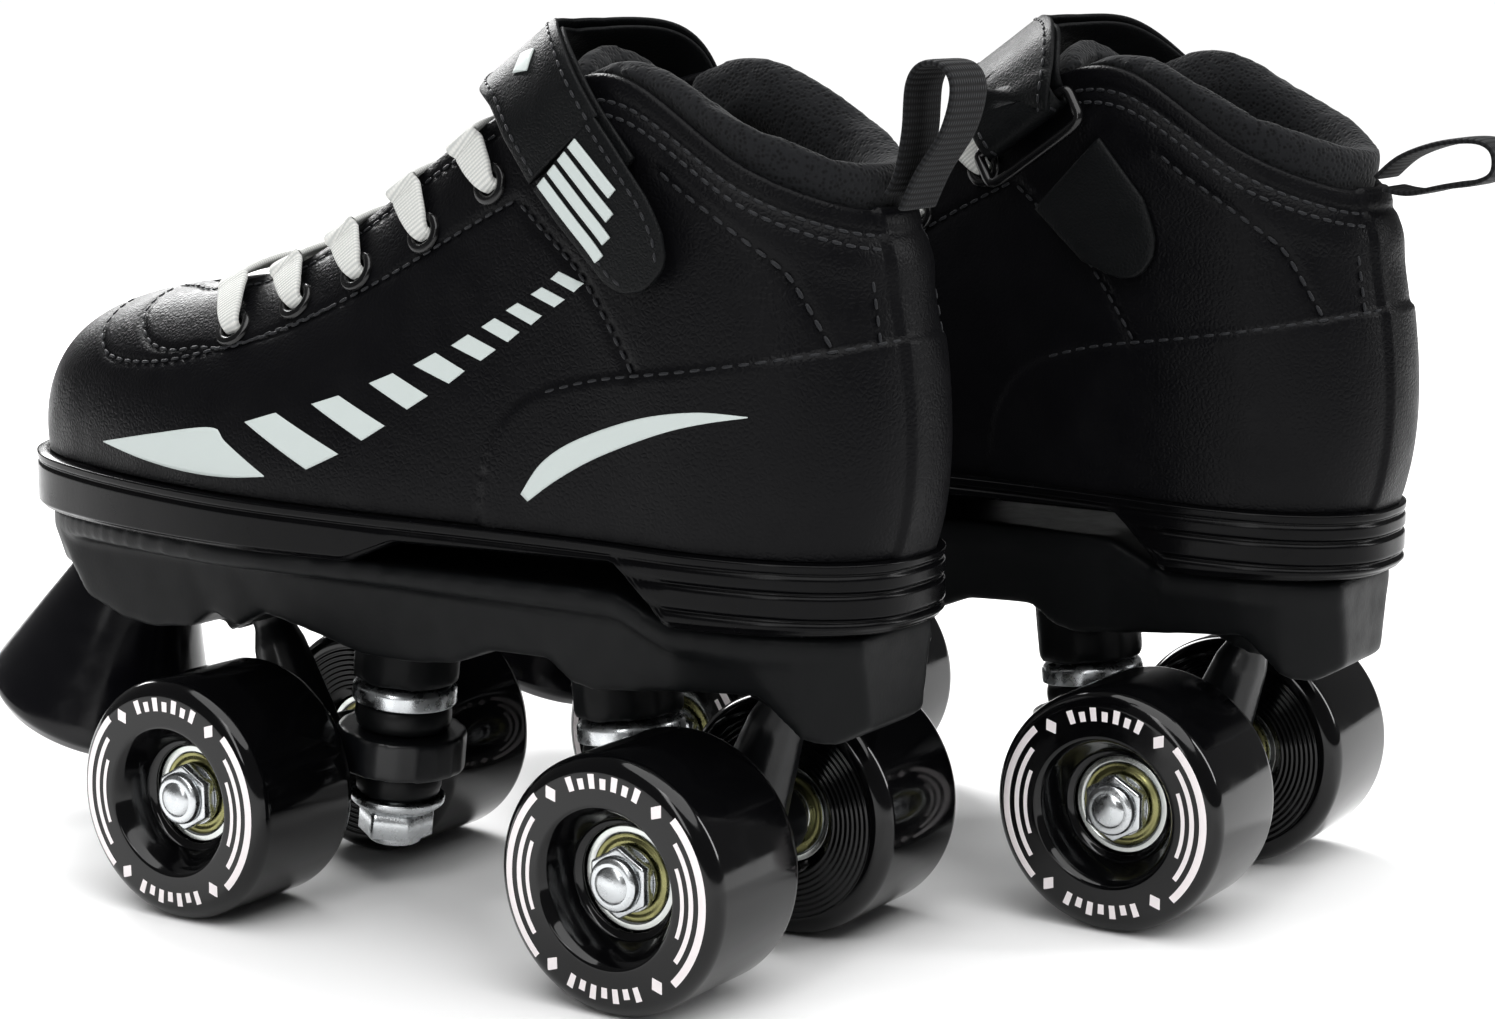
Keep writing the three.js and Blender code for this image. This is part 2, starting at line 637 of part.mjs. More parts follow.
// Anchor tab: a leather tape round the ring's lower bar, stitched to the boot's inner side.
function strapAnchor() {
  const points = [[-56.5, 142.5, 12], [-52, 149, 18], [-44.5, 156.5, 21], [-37.5, 163, 22]];
  const stations = points.map(([y, z, width]) => ({ p: onSkin(1, y, z, 1.9).p, w: ACROSS, width }));
  return ribbon(stations, 1.9);
}

// The lace zigzags through the eyelets: a bar over the top, then a slant under the leather.
const LACE_W = 4.6;
const LACE_T = 1.2;
const LEAN = 9; // a bar's middle lies this far ahead of its eyelets
const IN_HOLE = 3.1; // width where the tape is gathered in an eyelet

// The row of eyelets as places: hole points on both sides, the throat line above their middle.
const throat = RIBS.slice(3, 9).map((r) => [r[3], r[4]]).reverse();

// The rib angle whose top edge lies at a given length.
function throatAngle(y) {
  let [low, high] = [RIB_STEP * 3, RIB_STEP * 9];
  for (let i = 0; i < 30; i += 1) {
    const middle = (low + high) / 2;
    if (spline(RIBS.map((r) => r[3]), middle / RIB_STEP) > y) low = middle;
    else high = middle;
  }
  return low;
}

function laceRow([y, z], row) {
  const next = EYELETS[Math.min(row + 1, EYELETS.length - 1)];
  const before = EYELETS[Math.max(row - 1, 0)];
  const slope = V(0, next[0] - before[0], next[1] - before[1]).normalize();
  const up = V(0, slope.z, -slope.y);
  const left = onSkin(-1, y, z);
  const right = onSkin(1, y, z);
  const middle = V(0, y + LEAN, ramp(throat, y + LEAN));
  const edge = throatAngle(y + LEAN);
  const over = (hole, side, f, lift) => {
    const t = lerp(hole.t, edge, f);
    const v = lerp(hole.v, 1, f);
    return skin(t, side, v).addScaledVector(skinNormal(t, side, v), lift);
  };
  return { slope, up, left, right, middle, over };
}

function lace() {
  const stations = [];
  const push = (p, w, width = LACE_W) => stations.push({ p, w, width });
  const rows = EYELETS.map(laceRow);
  const above = (hole, k) => hole.p.clone().addScaledVector(hole.n, k);
  rows.forEach((row, i) => {
    const { slope, up, left, right, middle, over } = row;
    push(above(left, -LEATHER - 1.1), slope, IN_HOLE);
    push(above(left, 0.4), slope, IN_HOLE);
    for (const f of [0.2, 0.6, 1]) push(over(left, -1, f, 1.7), slope);
    push(middle.clone().addScaledVector(up, 2.4), slope);
    for (const f of [1, 0.6, 0.2]) push(over(right, 1, f, 1.7), slope);
    push(above(right, 0.4), slope, IN_HOLE);
    push(above(right, -LEATHER - 1.1), slope, IN_HOLE);
    if (i + 1 === rows.length) return;
    for (const [x, f, k] of [[13, 0.3, -4.0], [0, 0.5, -1.4], [-13, 0.7, -4.0]]) {
      push(middle.clone().lerp(rows[i + 1].middle, f).addScaledVector(up, k).add(V(x, 0, 0)), slope, IN_HOLE);
    }
  });
  return ribbon(stations, LACE_T);
}

// ---------------------------------------------------------------- materials and assembly
const finish = (color, roughness, metalness) => new THREE.MeshStandardMaterial({ color, roughness, metalness });
const LEATHER_BLACK = finish("#17181b", 0.5, 0);
const KNIT = finish("#111114", 0.95, 0);
const WEB = finish("#141416", 0.9, 0);
const LACE_WHITE = finish("#eceae6", 0.9, 0);
const RUBBER = finish("#0d0e10", 0.35, 0);
const NYLON = finish("#15171a", 0.45, 0);
const TYRE = finish("#08080a", 0.12, 0);
const STEEL = finish("#c9ccd0", 0.25, 1);
const CAST = finish("#121316", 0.4, 0.6);
const CUSHION = finish("#1b1b1d", 0.6, 0);

function skate(name, loopRoute) {
  const group = new THREE.Group();
  const add = (part, geometry, material) => {
    const mesh = new THREE.Mesh(geometry, material);
    mesh.name = name + "_" + part;
    group.add(mesh);
  };
  add("upper", upper(), LEATHER_BLACK);
  add("collar_padding", collar(), KNIT);
  add("tongue", tongue(), LEATHER_BLACK);
  add("heel_pull_loop", pullLoop(loopRoute), WEB);
  add("strap_anchor", strapAnchor(), LEATHER_BLACK);
  add("strap_ring", strapRing(), STEEL);
  add("instep_strap", instepStrap(), LEATHER_BLACK);
  add("strap_end", strapEnd(), LEATHER_BLACK);
  add("lace", lace(), LACE_WHITE);
  add("sole_unit", soleUnit(), RUBBER);
  add("chassis", chassis(), NYLON);
  add("toe_stop", toeStop(), RUBBER);
  for (const [end, sign] of [["front", 1], ["rear", -1]]) {
    const y = sign * AXLE_Y;
    add(end + "_hanger", hanger(sign), CAST);
    add(end + "_kingpin", kingpin(sign), STEEL);
    add(end + "_upper_cushion", cushion(sign, 44, 38.3, 11), CUSHION);
    add(end + "_lower_cushion", cushion(sign, 28.6, 22.5, 9.8), CUSHION);
    add(end + "_axle", axle(y), STEEL);
    for (const [place, side] of [["outer", -1], ["inner", 1]]) {
      add(end + "_" + place + "_wheel", wheel(side, y), TYRE);
      add(end + "_" + place + "_bearings", bearings(side, y), STEEL);
    }
  }
  return group;
}

const pair = new THREE.Group();
const left = skate("left", LOOP_UP);
left.position.set(-PAIR_X / 2, -PAIR_CENTRE_Y, 0);
const right = skate("right", LOOP_BACK);
right.scale.x = -1;
right.position.set(PAIR_X / 2, PAIR_Y - PAIR_CENTRE_Y, 0);
pair.add(left, right);

export default pair;
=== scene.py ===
# %% [markdown]
# # A pair of quad roller skates
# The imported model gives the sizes, the bodies that move and the boxes of every node. Everything below
# adds the look: leather, thread, webbing, moulded plastic, urethane and plated steel. One skate is worked
# out in its own frame in millimetres (x across, y towards the toe, z up, x = 0 in its middle plane), and
# the same arrays are mirrored for the other foot. That way each shape is written once.

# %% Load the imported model
import bpy
import bmesh
import numpy as np
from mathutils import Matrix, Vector
from mathutils.kdtree import KDTree


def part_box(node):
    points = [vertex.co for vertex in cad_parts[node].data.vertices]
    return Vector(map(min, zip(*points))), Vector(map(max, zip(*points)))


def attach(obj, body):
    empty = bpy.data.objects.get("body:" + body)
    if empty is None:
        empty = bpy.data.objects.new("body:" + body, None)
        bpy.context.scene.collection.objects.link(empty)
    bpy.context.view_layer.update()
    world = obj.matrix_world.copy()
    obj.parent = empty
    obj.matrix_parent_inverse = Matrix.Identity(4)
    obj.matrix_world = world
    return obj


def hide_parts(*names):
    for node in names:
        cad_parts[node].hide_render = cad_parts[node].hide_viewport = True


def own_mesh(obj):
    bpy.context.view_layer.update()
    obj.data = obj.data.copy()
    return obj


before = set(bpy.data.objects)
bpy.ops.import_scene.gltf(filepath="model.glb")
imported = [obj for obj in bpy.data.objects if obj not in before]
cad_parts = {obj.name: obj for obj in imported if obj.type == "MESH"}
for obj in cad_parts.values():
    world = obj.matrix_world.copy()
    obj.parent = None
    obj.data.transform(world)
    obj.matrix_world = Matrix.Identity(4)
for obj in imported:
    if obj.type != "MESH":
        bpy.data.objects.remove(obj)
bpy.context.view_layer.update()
MM = 0.001
SIDES = ("left", "right")
ENDS = ("front", "rear")
PLACES = ("outer", "inner")


def skate_origin(side):
    """The point on the floor midway between a skate's four wheels, in metres."""
    boxes = [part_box(f"{side}_{end}_{place}_wheel") for end in ENDS for place in PLACES]
    low = np.min([b[0] for b in boxes], axis=0)
    high = np.max([b[1] for b in boxes], axis=0)
    return np.array([(low[0] + high[0]) / 2, (low[1] + high[1]) / 2, 0.0])


ORIGIN = {side: skate_origin(side) for side in SIDES}
print("skate origins in metres:", {side: ORIGIN[side].round(5).tolist() for side in SIDES})

# %% [markdown]
# ## Tools for surfaces
# A surface is a grid of points, computed as whole arrays. `spline` runs a smooth curve through a few rows
# of numbers, `sheet_faces` numbers the quads of a grid, and `build` puts points, faces and the cloth
# coordinates into a mesh. Closed shapes repeat their first column at the end, so that the cloth
# coordinates have a clean seam, and the doubled points are merged afterwards.

# %% Curves
def spline(keys, u):
    """Catmull-Rom curve: passes through row i of keys at u = i, with smooth slopes in between."""
    keys = np.asarray(keys, float)
    u = np.asarray(u, float)
    i = np.clip(np.floor(u).astype(int), 0, len(keys) - 2)
    f = (u - i)[..., None] if keys.ndim == 2 else u - i
    a, b, c, d = (keys[np.clip(i + k, 0, len(keys) - 1)] for k in (-1, 0, 1, 2))
    return b + 0.5 * f * (c - a + f * (2 * a - 5 * b + 4 * c - d + f * (3 * (b - c) + d - a)))


def along(keys, count):
    """`count` points spread evenly by length over the smooth curve through keys."""
    fine = spline(keys, np.linspace(0, len(keys) - 1, 40 * len(keys)))
    run = np.r_[0, np.cumsum(np.linalg.norm(np.diff(fine, axis=0), axis=1))]
    at = np.linspace(0, run[-1], count)
    return np.stack([np.interp(at, run, fine[:, k]) for k in range(fine.shape[1])], 1)


def ramp(keys, at):
    """Straight lines between [position, value] keys."""
    keys = np.asarray(keys, float)
    return np.interp(at, keys[:, 0], keys[:, 1])


def unit(vectors):
    """Vectors scaled to length one."""
    vectors = np.asarray(vectors, float)
    return vectors / np.maximum(np.linalg.norm(vectors, axis=-1, keepdims=True), 1e-12)


def smooth_step(x):
    """0 below x = 0, 1 above x = 1, and an S curve between."""
    x = np.clip(x, 0, 1)
    return x * x * (3 - 2 * x)


# %% Meshes
def sheet_faces(rows, columns):
    """Quads of a grid with `rows` x `columns` points, numbered row by row."""
    first = (np.arange(rows - 1)[:, None] * columns + np.arange(columns - 1)[None, :]).ravel()
    return np.stack([first, first + 1, first + columns + 1, first + columns], 1)


def stand(side, points):
    """Local millimetres of one skate to metres in the shared frame; the right skate is the mirror."""
    placed = np.array(points, float) * MM
    if side == "right":
        placed[..., 0] *= -1
    return placed + ORIGIN[side]


def build(name, side, parts, body, finish, closed=True, smooth=True):
    """One object from [(points grid, cloth coordinates grid)], standing on its skate and riding a body."""
    points, faces, cloth, start = [], [], [], 0
    for grid, coordinates in parts:
        rows, columns = grid.shape[:2]
        points.append(grid.reshape(-1, 3))
        faces.append(sheet_faces(rows, columns) + start)
        cloth.append(coordinates.reshape(-1, 2))
        start += rows * columns
    points, faces, cloth = np.concatenate(points), np.concatenate(faces), np.concatenate(cloth)
    if side == "right":
        faces = faces[:, ::-1]
    mesh = bpy.data.meshes.new(name)
    mesh.from_pydata(stand(side, points), [], faces)
    layer = mesh.uv_layers.new(name="cloth")
    layer.data.foreach_set("uv", cloth[faces.ravel()].ravel())
    made = bmesh.new()
    made.from_mesh(mesh)
    bmesh.ops.remove_doubles(made, verts=made.verts, dist=2e-6)
    if closed:
        bmesh.ops.recalc_face_normals(made, faces=made.faces)
    made.to_mesh(mesh)
    made.free()
    mesh.polygons.foreach_set("use_smooth", np.full(len(mesh.polygons), smooth))
    mesh.materials.append(finish)
    piece = bpy.data.objects.new(name, mesh)
    bpy.context.scene.collection.objects.link(piece)
    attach(piece, body)
    return piece


def numbered(grid, scale=(1.0, 1.0)):
    """Cloth coordinates of a grid from its own row and column lengths, in millimetres."""
    rows, columns = grid.shape[:2]
    down = np.linalg.norm(np.diff(grid, axis=0), axis=2)
    over = np.linalg.norm(np.diff(grid, axis=1), axis=2)
    v = np.r_[np.zeros((1, columns)), np.cumsum(down, 0)].mean(1)
    u = np.c_[np.zeros((rows, 1)), np.cumsum(over, 1)].mean(0)
    return np.stack(np.meshgrid(u * scale[0], v * scale[1]), -1)


# %% [markdown]
# ## Tools for finishes
# Every finish is a node tree on Blender's Principled shader. `node` adds one node with its settings and
# links. Colours are written as the hex values a paint chart would give. Patterns read object coordinates
# in metres, so a pattern's scale is one over its real size.

# %% Colours and nodes
def paint(code):
    """An sRGB hex colour as linear red, green, blue and alpha."""
    part = np.array([int(code[i:i + 2], 16) for i in (1, 3, 5)]) / 255
    linear = np.where(part <= 0.04045, part / 12.92, ((part + 0.055) / 1.055) ** 2.4)
    return (*linear.tolist(), 1.0)


def node(tree, kind, inputs=None, **settings):
    """Adds one node, gives it its settings, and fills or links its inputs."""
    made = tree.nodes.new(kind)
    for key, value in settings.items():
        setattr(made, key, value)
    for key, value in (inputs or {}).items():
        if isinstance(value, bpy.types.NodeSocket):
            tree.links.new(value, made.inputs[key])
        else:
            made.inputs[key].default_value = value
    return made


def new_finish(name, colour, roughness, **sockets):
    """A Principled finish with fixed values; returns it with its node tree and shader."""
    finish = bpy.data.materials.new(name)
    finish.use_nodes = True
    shader = finish.node_tree.nodes["Principled BSDF"]
    shader.inputs["Base Color"].default_value = paint(colour)
    shader.inputs["Roughness"].default_value = roughness
    for key, value in sockets.items():
        shader.inputs[key.replace("_", " ")].default_value = value
    return finish, finish.node_tree, shader


def bumped(tree, shader, height, depth_mm, strength=1.0):
    """Raises the surface by a height of 0 to 1 times depth_mm."""
    bump = node(tree, "ShaderNodeBump", {"Height": height, "Distance": depth_mm * MM, "Strength": strength})
    tree.links.new(bump.outputs["Normal"], shader.inputs["Normal"])
    return bump


def place_of(tree):
    """Object coordinates, in metres."""
    return node(tree, "ShaderNodeTexCoord").outputs["Object"]


def noise(tree, size_mm, detail=2.0, vector=None):
    """Soft noise whose blobs are about size_mm across."""
    vector = vector or place_of(tree)
    inputs = {"Vector": vector, "Scale": 1 / (size_mm * MM), "Detail": detail}
    return node(tree, "ShaderNodeTexNoise", inputs).outputs["Fac"]


def between(tree, value, low, high, out_low, out_high):
    """Maps value from low..high to out_low..out_high."""
    inputs = {"Value": value, "From Min": low, "From Max": high, "To Min": out_low, "To Max": out_high}
    return node(tree, "ShaderNodeMapRange", inputs).outputs["Result"]


def mix_colour(tree, factor, first, second):
    """A colour that goes from first to second as factor goes from 0 to 1."""
    mixed = node(tree, "ShaderNodeMix", {"Factor": factor}, data_type="RGBA")
    for socket, value in ((mixed.inputs[6], first), (mixed.inputs[7], second)):
        socket.default_value = paint(value)
    return mixed.outputs[2]


def arithmetic(tree, operation, first, second=0.0):
    """One Math node."""
    return node(tree, "ShaderNodeMath", {0: first, 1: second}, operation=operation).outputs[0]


# %% [markdown]
# ## Finishes
# The boot is coated synthetic leather: polyurethane film embossed with a fine pebble grain, which gives a
# broken, silky highlight. Its black is a little lighter than the plastic's because the grain scatters.

# %% Coated leather
def coated_leather(name, colour, grain_mm, roughness):
    finish, tree, shader = new_finish(name, colour, roughness, IOR=1.5, Specular_IOR_Level=0.09)
    place = place_of(tree)
    warp = node(tree, "ShaderNodeTexNoise", {"Vector": place, "Scale": 1 / (3.0 * MM), "Detail": 2.0})
    shift = node(tree, "ShaderNodeVectorMath", {0: warp.outputs["Color"], 1: (0.5, 0.5, 0.5)},
                 operation="SUBTRACT")
    small = node(tree, "ShaderNodeVectorMath", {0: shift.outputs[0], "Scale": 0.9 * MM}, operation="SCALE")
    moved = node(tree, "ShaderNodeVectorMath", {0: place, 1: small.outputs[0]}, operation="ADD")
    cell = {"Vector": moved.outputs[0], "Scale": 1 / (grain_mm * MM)}
    pebbles = node(tree, "ShaderNodeTexVoronoi", cell, feature="DISTANCE_TO_EDGE").outputs["Distance"]
    rounded = between(tree, pebbles, 0.0, 0.35, 0.0, 1.0)
    creases = noise(tree, 16.0, 3.0, place)
    height = arithmetic(tree, "ADD", rounded, arithmetic(tree, "MULTIPLY", creases, 6.0))
    bumped(tree, shader, height, 0.055)
    patchy = noise(tree, 9.0, 4.0, place)
    tree.links.new(between(tree, patchy, 0.3, 0.7, roughness - 0.05, roughness + 0.08),
                   shader.inputs["Roughness"])
    return finish


LEATHER = coated_leather("coated_leather_black", "#08080A", 1.1, 0.38)
STRAP_LEATHER = coated_leather("coated_leather_strap", "#0E0F10", 0.9, 0.42)

# %% [markdown]
# Cloth next: the collar is spacer mesh, a knit with small regular holes over foam. Webbing is woven in
# ribs across the tape. The laces are flat woven polyester, white and slightly translucent at the edges.
# Each of these scatters light at grazing angles, which the sheen gives.

# %% Knit, webbing, lace and thread
def knit(name, colour, hole_mm):
    finish, tree, shader = new_finish(name, colour, 0.85, Sheen_Weight=0.12, Specular_IOR_Level=0.1)
    inputs = {"Vector": place_of(tree), "Scale": 1 / (hole_mm * MM)}
    holes = node(tree, "ShaderNodeTexVoronoi", inputs, feature="F1").outputs["Distance"]
    bumped(tree, shader, between(tree, holes, 0.1, 0.6, 0.0, 1.0), 0.16)
    # The holes are painted near black: painted shade in the recessed holes of the knit.
    painted_hole_shade = mix_colour(tree, between(tree, holes, 0.15, 0.5, 0.0, 1.0), "#050506", colour)
    tree.links.new(painted_hole_shade, shader.inputs["Base Color"])
    return finish


def woven(name, colour, painted_groove_shade, rib_mm, thread_mm, depth_mm, roughness=0.8):
    """Ribs across the tape every rib_mm and threads along it every thread_mm, from cloth coordinates."""
    finish, tree, shader = new_finish(name, colour, roughness, Sheen_Weight=0.06, Specular_IOR_Level=0.15)
    spot = node(tree, "ShaderNodeUVMap", uv_map="cloth").outputs["UV"]
    split = node(tree, "ShaderNodeSeparateXYZ", {"Vector": spot})
    heights = []
    for socket, pitch in (("Y", rib_mm), ("X", thread_mm)):
        turn = arithmetic(tree, "MULTIPLY", split.outputs[socket], 2 * np.pi / pitch)
        heights.append(between(tree, arithmetic(tree, "SINE", turn), -1.0, 1.0, 0.0, 1.0))
    weave = arithmetic(tree, "MULTIPLY", heights[0], between(tree, heights[1], 0.0, 1.0, 0.55, 1.0))
    bumped(tree, shader, weave, depth_mm)
    # The low parts of the weave take the second, darker colour: painted shade in the grooves between ribs and
    # threads.
    tree.links.new(mix_colour(tree, between(tree, weave, 0.0, 0.7, 0.0, 1.0), painted_groove_shade, colour),
                   shader.inputs["Base Color"])
    return finish


KNIT = knit("spacer_mesh_black", "#17181A", 0.95)
LINING = knit("brushed_lining_black", "#141517", 1.0)
# The second colour of each woven finish is the painted shade in its grooves.
WEBBING = woven("nylon_webbing_black", "#1B1C1E", "#060607", 1.3, 0.9, 0.3)
LACE = woven("polyester_lace_white", "#D3D3CF", "#B4B6B4", 0.8, 0.6, 0.1, 0.75)
THREAD = woven("bonded_thread_black", "#26272A", "#101113", 0.5, 0.5, 0.05, 0.4)

# %% [markdown]
# The side bars are heat-pressed silver-grey film, nearly flat and a little satin. The wheel print is pad
# printed in the same way, slightly warmer.

# %% Film and print
def film(name, colour, roughness):
    finish, tree, shader = new_finish(name, colour, roughness, Specular_IOR_Level=0.25)
    mottle = noise(tree, 0.7, 3.0)
    bumped(tree, shader, mottle, 0.02)
    worn = between(tree, noise(tree, 6.0, 3.0), 0.35, 0.65, roughness - 0.06, roughness + 0.08)
    tree.links.new(worn, shader.inputs["Roughness"])
    return finish


BAR_FILM = film("heat_pressed_film_silver", "#BCC4C2", 0.42)
WHEEL_PRINT = film("pad_print_white", "#F0E9EA", 0.35)

# %% [markdown]
# The sole is injection-moulded rubber with a polished rim, the plate is glass-filled nylon with a fine
# spark-eroded texture, and the toe stop is a cast rubber that comes glossy out of its mould.

# %% Rubber and nylon
def moulded(name, colour, roughness, grain_mm, depth_mm, **sockets):
    finish, tree, shader = new_finish(name, colour, roughness, **sockets)
    place = place_of(tree)
    grain = noise(tree, grain_mm, 3.0, place)
    sink = noise(tree, 22.0, 1.0, place)
    height = arithmetic(tree, "ADD", grain, arithmetic(tree, "MULTIPLY", sink, 4.0))
    bumped(tree, shader, height, depth_mm)
    scuffs = between(tree, noise(tree, 5.0, 5.0, place), 0.4, 0.75, roughness, roughness + 0.1)
    tree.links.new(scuffs, shader.inputs["Roughness"])
    return finish


SOLE_RUBBER = moulded("moulded_rubber_polished", "#050506", 0.2, 0.8, 0.02, Specular_IOR_Level=0.1)
NYLON = moulded("glass_filled_nylon_black", "#0E0F10", 0.38, 0.7, 0.035, Specular_IOR_Level=0.1)
STOP_RUBBER = moulded("cast_stop_rubber_black", "#08080B", 0.16, 2.0, 0.01, Specular_IOR_Level=0.25)
CUSHION_RUBBER = moulded("truck_cushion_rubber_black", "#0C0D0E", 0.35, 0.8, 0.02, Specular_IOR_Level=0.2)
URETHANE = moulded("cast_urethane_black", "#050506", 0.07, 6.0, 0.004, Specular_IOR_Level=0.34)
TRUCK_PAINT = moulded("baked_truck_paint_black", "#0D0E10", 0.28, 0.6, 0.03, Specular_IOR_Level=0.4)
ENAMEL = moulded("eyelet_enamel_black", "#0A0A0B", 0.18, 0.8, 0.01, Specular_IOR_Level=0.4)

# %% [markdown]
# Bolts, cups and nuts are steel with a bright zinc plate: almost white, with a soft mirror. The bearing
# rings are ground steel and their shields are passivated, which tints them olive and brass.

# %% Metals
def metal(name, colour, roughness, spread, depth_mm):
    finish, tree, shader = new_finish(name, colour, roughness, Metallic=1.0)
    place = place_of(tree)
    bumped(tree, shader, noise(tree, 0.5, 2.0, place), depth_mm)
    dull = between(tree, noise(tree, 2.5, 4.0, place), 0.35, 0.7, roughness, roughness + spread)
    tree.links.new(dull, shader.inputs["Roughness"])
    return finish


ZINC = metal("bright_zinc_plate", "#C9CCCE", 0.2, 0.16, 0.02)
BEARING_STEEL = metal("ground_bearing_steel", "#C6C9C6", 0.16, 0.1, 0.006)
SHIELD = metal("passivated_shield_olive", "#8C8A5E", 0.24, 0.14, 0.008)

# %% [markdown]
# ## The last
# A boot is pulled over a last, so its skin is one smooth surface. Ribs stand on the sole's outline every
# 15 degrees round from toe to heel, and each rib is a cubic curve from the sole up to the top edge. The
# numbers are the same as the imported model's. Past the toe and the heel the rows are mirrored, which
# keeps the nose and the heel free of a crease.

# %% The skin of the boot
SOLE_MID, SOLE_HALF = 13.5, 117.5  # middle and half of the sole's length
RIM_Z, RIM_RISE = 94.3, 0.0251  # top of the sole at y = 0 and its rise towards the toe
WALL = 2.6  # thickness of the upper
RIBS = np.array([  # outer and inner half-width, top x, y, z, foot out, foot up, head out, head down
    [49.0, 52.0, 0.0, 86.0, 136.5, 2.5, 23.5, 28.0, 4.0],
    [49.0, 52.0, 4.0, 85.5, 136.6, 2.5, 23.0, 26.0, 4.0],
    [49.5, 50.5, 7.0, 83.0, 137.0, 2.5, 22.0, 22.0, 4.0],
    [47.5, 46.2, 9.5, 78.0, 137.6, 2.5, 21.0, 19.0, 4.0],
    [46.2, 43.2, 13.0, 69.0, 138.0, 2.5, 20.0, 14.5, 4.0],
    [44.7, 39.0, 15.0, 48.0, 142.8, 2.5, 21.0, 10.5, 5.5],
    [41.0, 33.0, 16.0, 24.0, 155.2, 2.5, 23.0, 8.5, 8.0],
    [37.5, 29.8, 17.5, 0.0, 170.6, 3.0, 26.0, 7.5, 12.0],
    [37.0, 32.0, 21.5, -27.5, 182.5, 3.5, 28.0, 6.0, 20.0],
    [41.3, 38.3, 26.5, -49.5, 184.5, 4.0, 28.0, 3.5, 26.0],
    [44.5, 42.7, 25.0, -76.0, 168.5, 5.0, 24.0, 3.5, 22.0],
    [46.0, 44.3, 14.5, -92.0, 161.0, 6.5, 21.0, 4.5, 19.0],
    [46.0, 45.0, 0.0, -98.0, 159.4, 7.5, 20.0, 5.0, 19.0],
])
RIB_STEP = np.pi / (len(RIBS) - 1)
OTHER_FOOT = np.array([1, 1, -1, 1, 1, 1, 1, 1, 1])
RIB_KEYS = np.vstack([RIBS[1] * OTHER_FOOT, RIBS, RIBS[-2] * OTHER_FOOT])


def rim_top(y):
    """Height of the sole's upper edge."""
    return RIM_Z + RIM_RISE * y


def outline(half, t, inset=0.0):
    """Sole outline: x = half * width(t) * sin(t)^0.8, y = middle + half length * cos(t), moved inwards
    by inset. half is -1 on the outer side and 1 on the inner side. Also gives the outward direction."""
    def at(a):
        row = spline(RIB_KEYS, a / RIB_STEP + 1)
        width = np.where(half < 0, row[..., 0], row[..., 1])
        return np.stack([half * width * np.sin(a) ** 0.8, SOLE_MID + SOLE_HALF * np.cos(a)], -1)
    t = np.clip(t, 0, np.pi)
    run = unit(at(np.clip(t + 0.01, 0, np.pi)) - at(np.clip(t - 0.01, 0, np.pi)))
    out = np.stack([-half * run[..., 1], half * run[..., 0]], -1)
    tip = (t < 1e-6) | (t > np.pi - 1e-6)
    out = np.where(tip[..., None], np.stack([0 * t, np.sign(np.pi / 2 - t)], -1), out)
    return at(t) - inset * out, out


def skin(half, t, v):
    """Point of the outer skin: a cubic Bezier curve from the sole (v = 0) to the top edge (v = 1)."""
    half, t, v = np.broadcast_arrays(np.asarray(half, float), np.asarray(t, float), np.asarray(v, float))
    row = spline(RIB_KEYS, np.clip(t, 0, np.pi) / RIB_STEP + 1)
    edge, out = outline(half, t, 3.0)
    flat = np.concatenate([out, 0 * out[..., :1]], -1)
    foot = np.concatenate([edge, (rim_top(edge[..., 1]) + 0.3)[..., None]], -1)
    top = np.stack([half * row[..., 2], row[..., 3], row[..., 4]], -1)
    up = np.array([0.0, 0.0, 1.0])
    first = foot + flat * row[..., 5:6] + up * row[..., 6:7]
    second = top + flat * row[..., 7:8] - up * row[..., 8:9]
    v = v[..., None]
    return (1 - v) ** 3 * foot + 3 * v * (1 - v) ** 2 * first + 3 * v ** 2 * (1 - v) * second + v ** 3 * top


def skin_normal(half, t, v):
    """Outward normal: the cross product of the skin's slopes in t and in v."""
    half, t, v = np.broadcast_arrays(np.asarray(half, float), np.asarray(t, float), np.asarray(v, float))
    step = 0.02
    inside = np.clip(t, step, np.pi - step)
    across = skin(half, inside + step, v) - skin(half, inside - step, v)
    upward = skin(half, t, np.minimum(v + step, 1)) - skin(half, t, np.maximum(v - step, 0))
    normal = unit(np.cross(across, upward) * -half[..., None])
    tip = ((t < step) | (t > np.pi - step))[..., None]
    return np.where(tip, unit(normal * [0, 1, 1]), normal)


FIND_T, FIND_V = np.meshgrid(np.linspace(0.1, np.pi, 120), np.linspace(0, 1, 70), indexing="ij")


def find_on_skin(half, y, z):
    """Angle and height of the skin points at length y and height z: the nearest point of a coarse grid,
    then Newton steps on the two slopes."""
    target = np.stack([np.ravel(y), np.ravel(z)], 1).astype(float)
    grid = skin(half, FIND_T, FIND_V)[..., 1:].reshape(-1, 2)
    nearest = ((target[:, None] - grid[None]) ** 2).sum(2).argmin(1)
    t, v = FIND_T.ravel()[nearest], FIND_V.ravel()[nearest]
    step = 1e-4
    for _ in range(8):
        here = skin(half, t, v)[:, 1:]
        by_t = (skin(half, t + step, v)[:, 1:] - here) / step
        by_v = (skin(half, t, v + step)[:, 1:] - here) / step
        miss = target - here
        area = by_t[:, 0] * by_v[:, 1] - by_t[:, 1] * by_v[:, 0]
        area = np.where(np.abs(area) < 1e-3, 1e9, area)
        t = np.clip(t + np.clip((miss[:, 0] * by_v[:, 1] - miss[:, 1] * by_v[:, 0]) / area, -0.05, 0.05),
                    0.05, np.pi)
        v = np.clip(v + np.clip((by_t[:, 0] * miss[:, 1] - by_t[:, 1] * miss[:, 0]) / area, -0.05, 0.05), 0,
                    1)
    return t.reshape(np.shape(y)), v.reshape(np.shape(y))


def on_skin(half, y, z, lift=0.0):
    """Skin point and normal at length y and height z, lifted along the normal."""
    t, v = find_on_skin(half, y, z)
    normal = skin_normal(half, t, v)
    return skin(half, t, v) + normal * np.asarray(lift)[..., None], normal


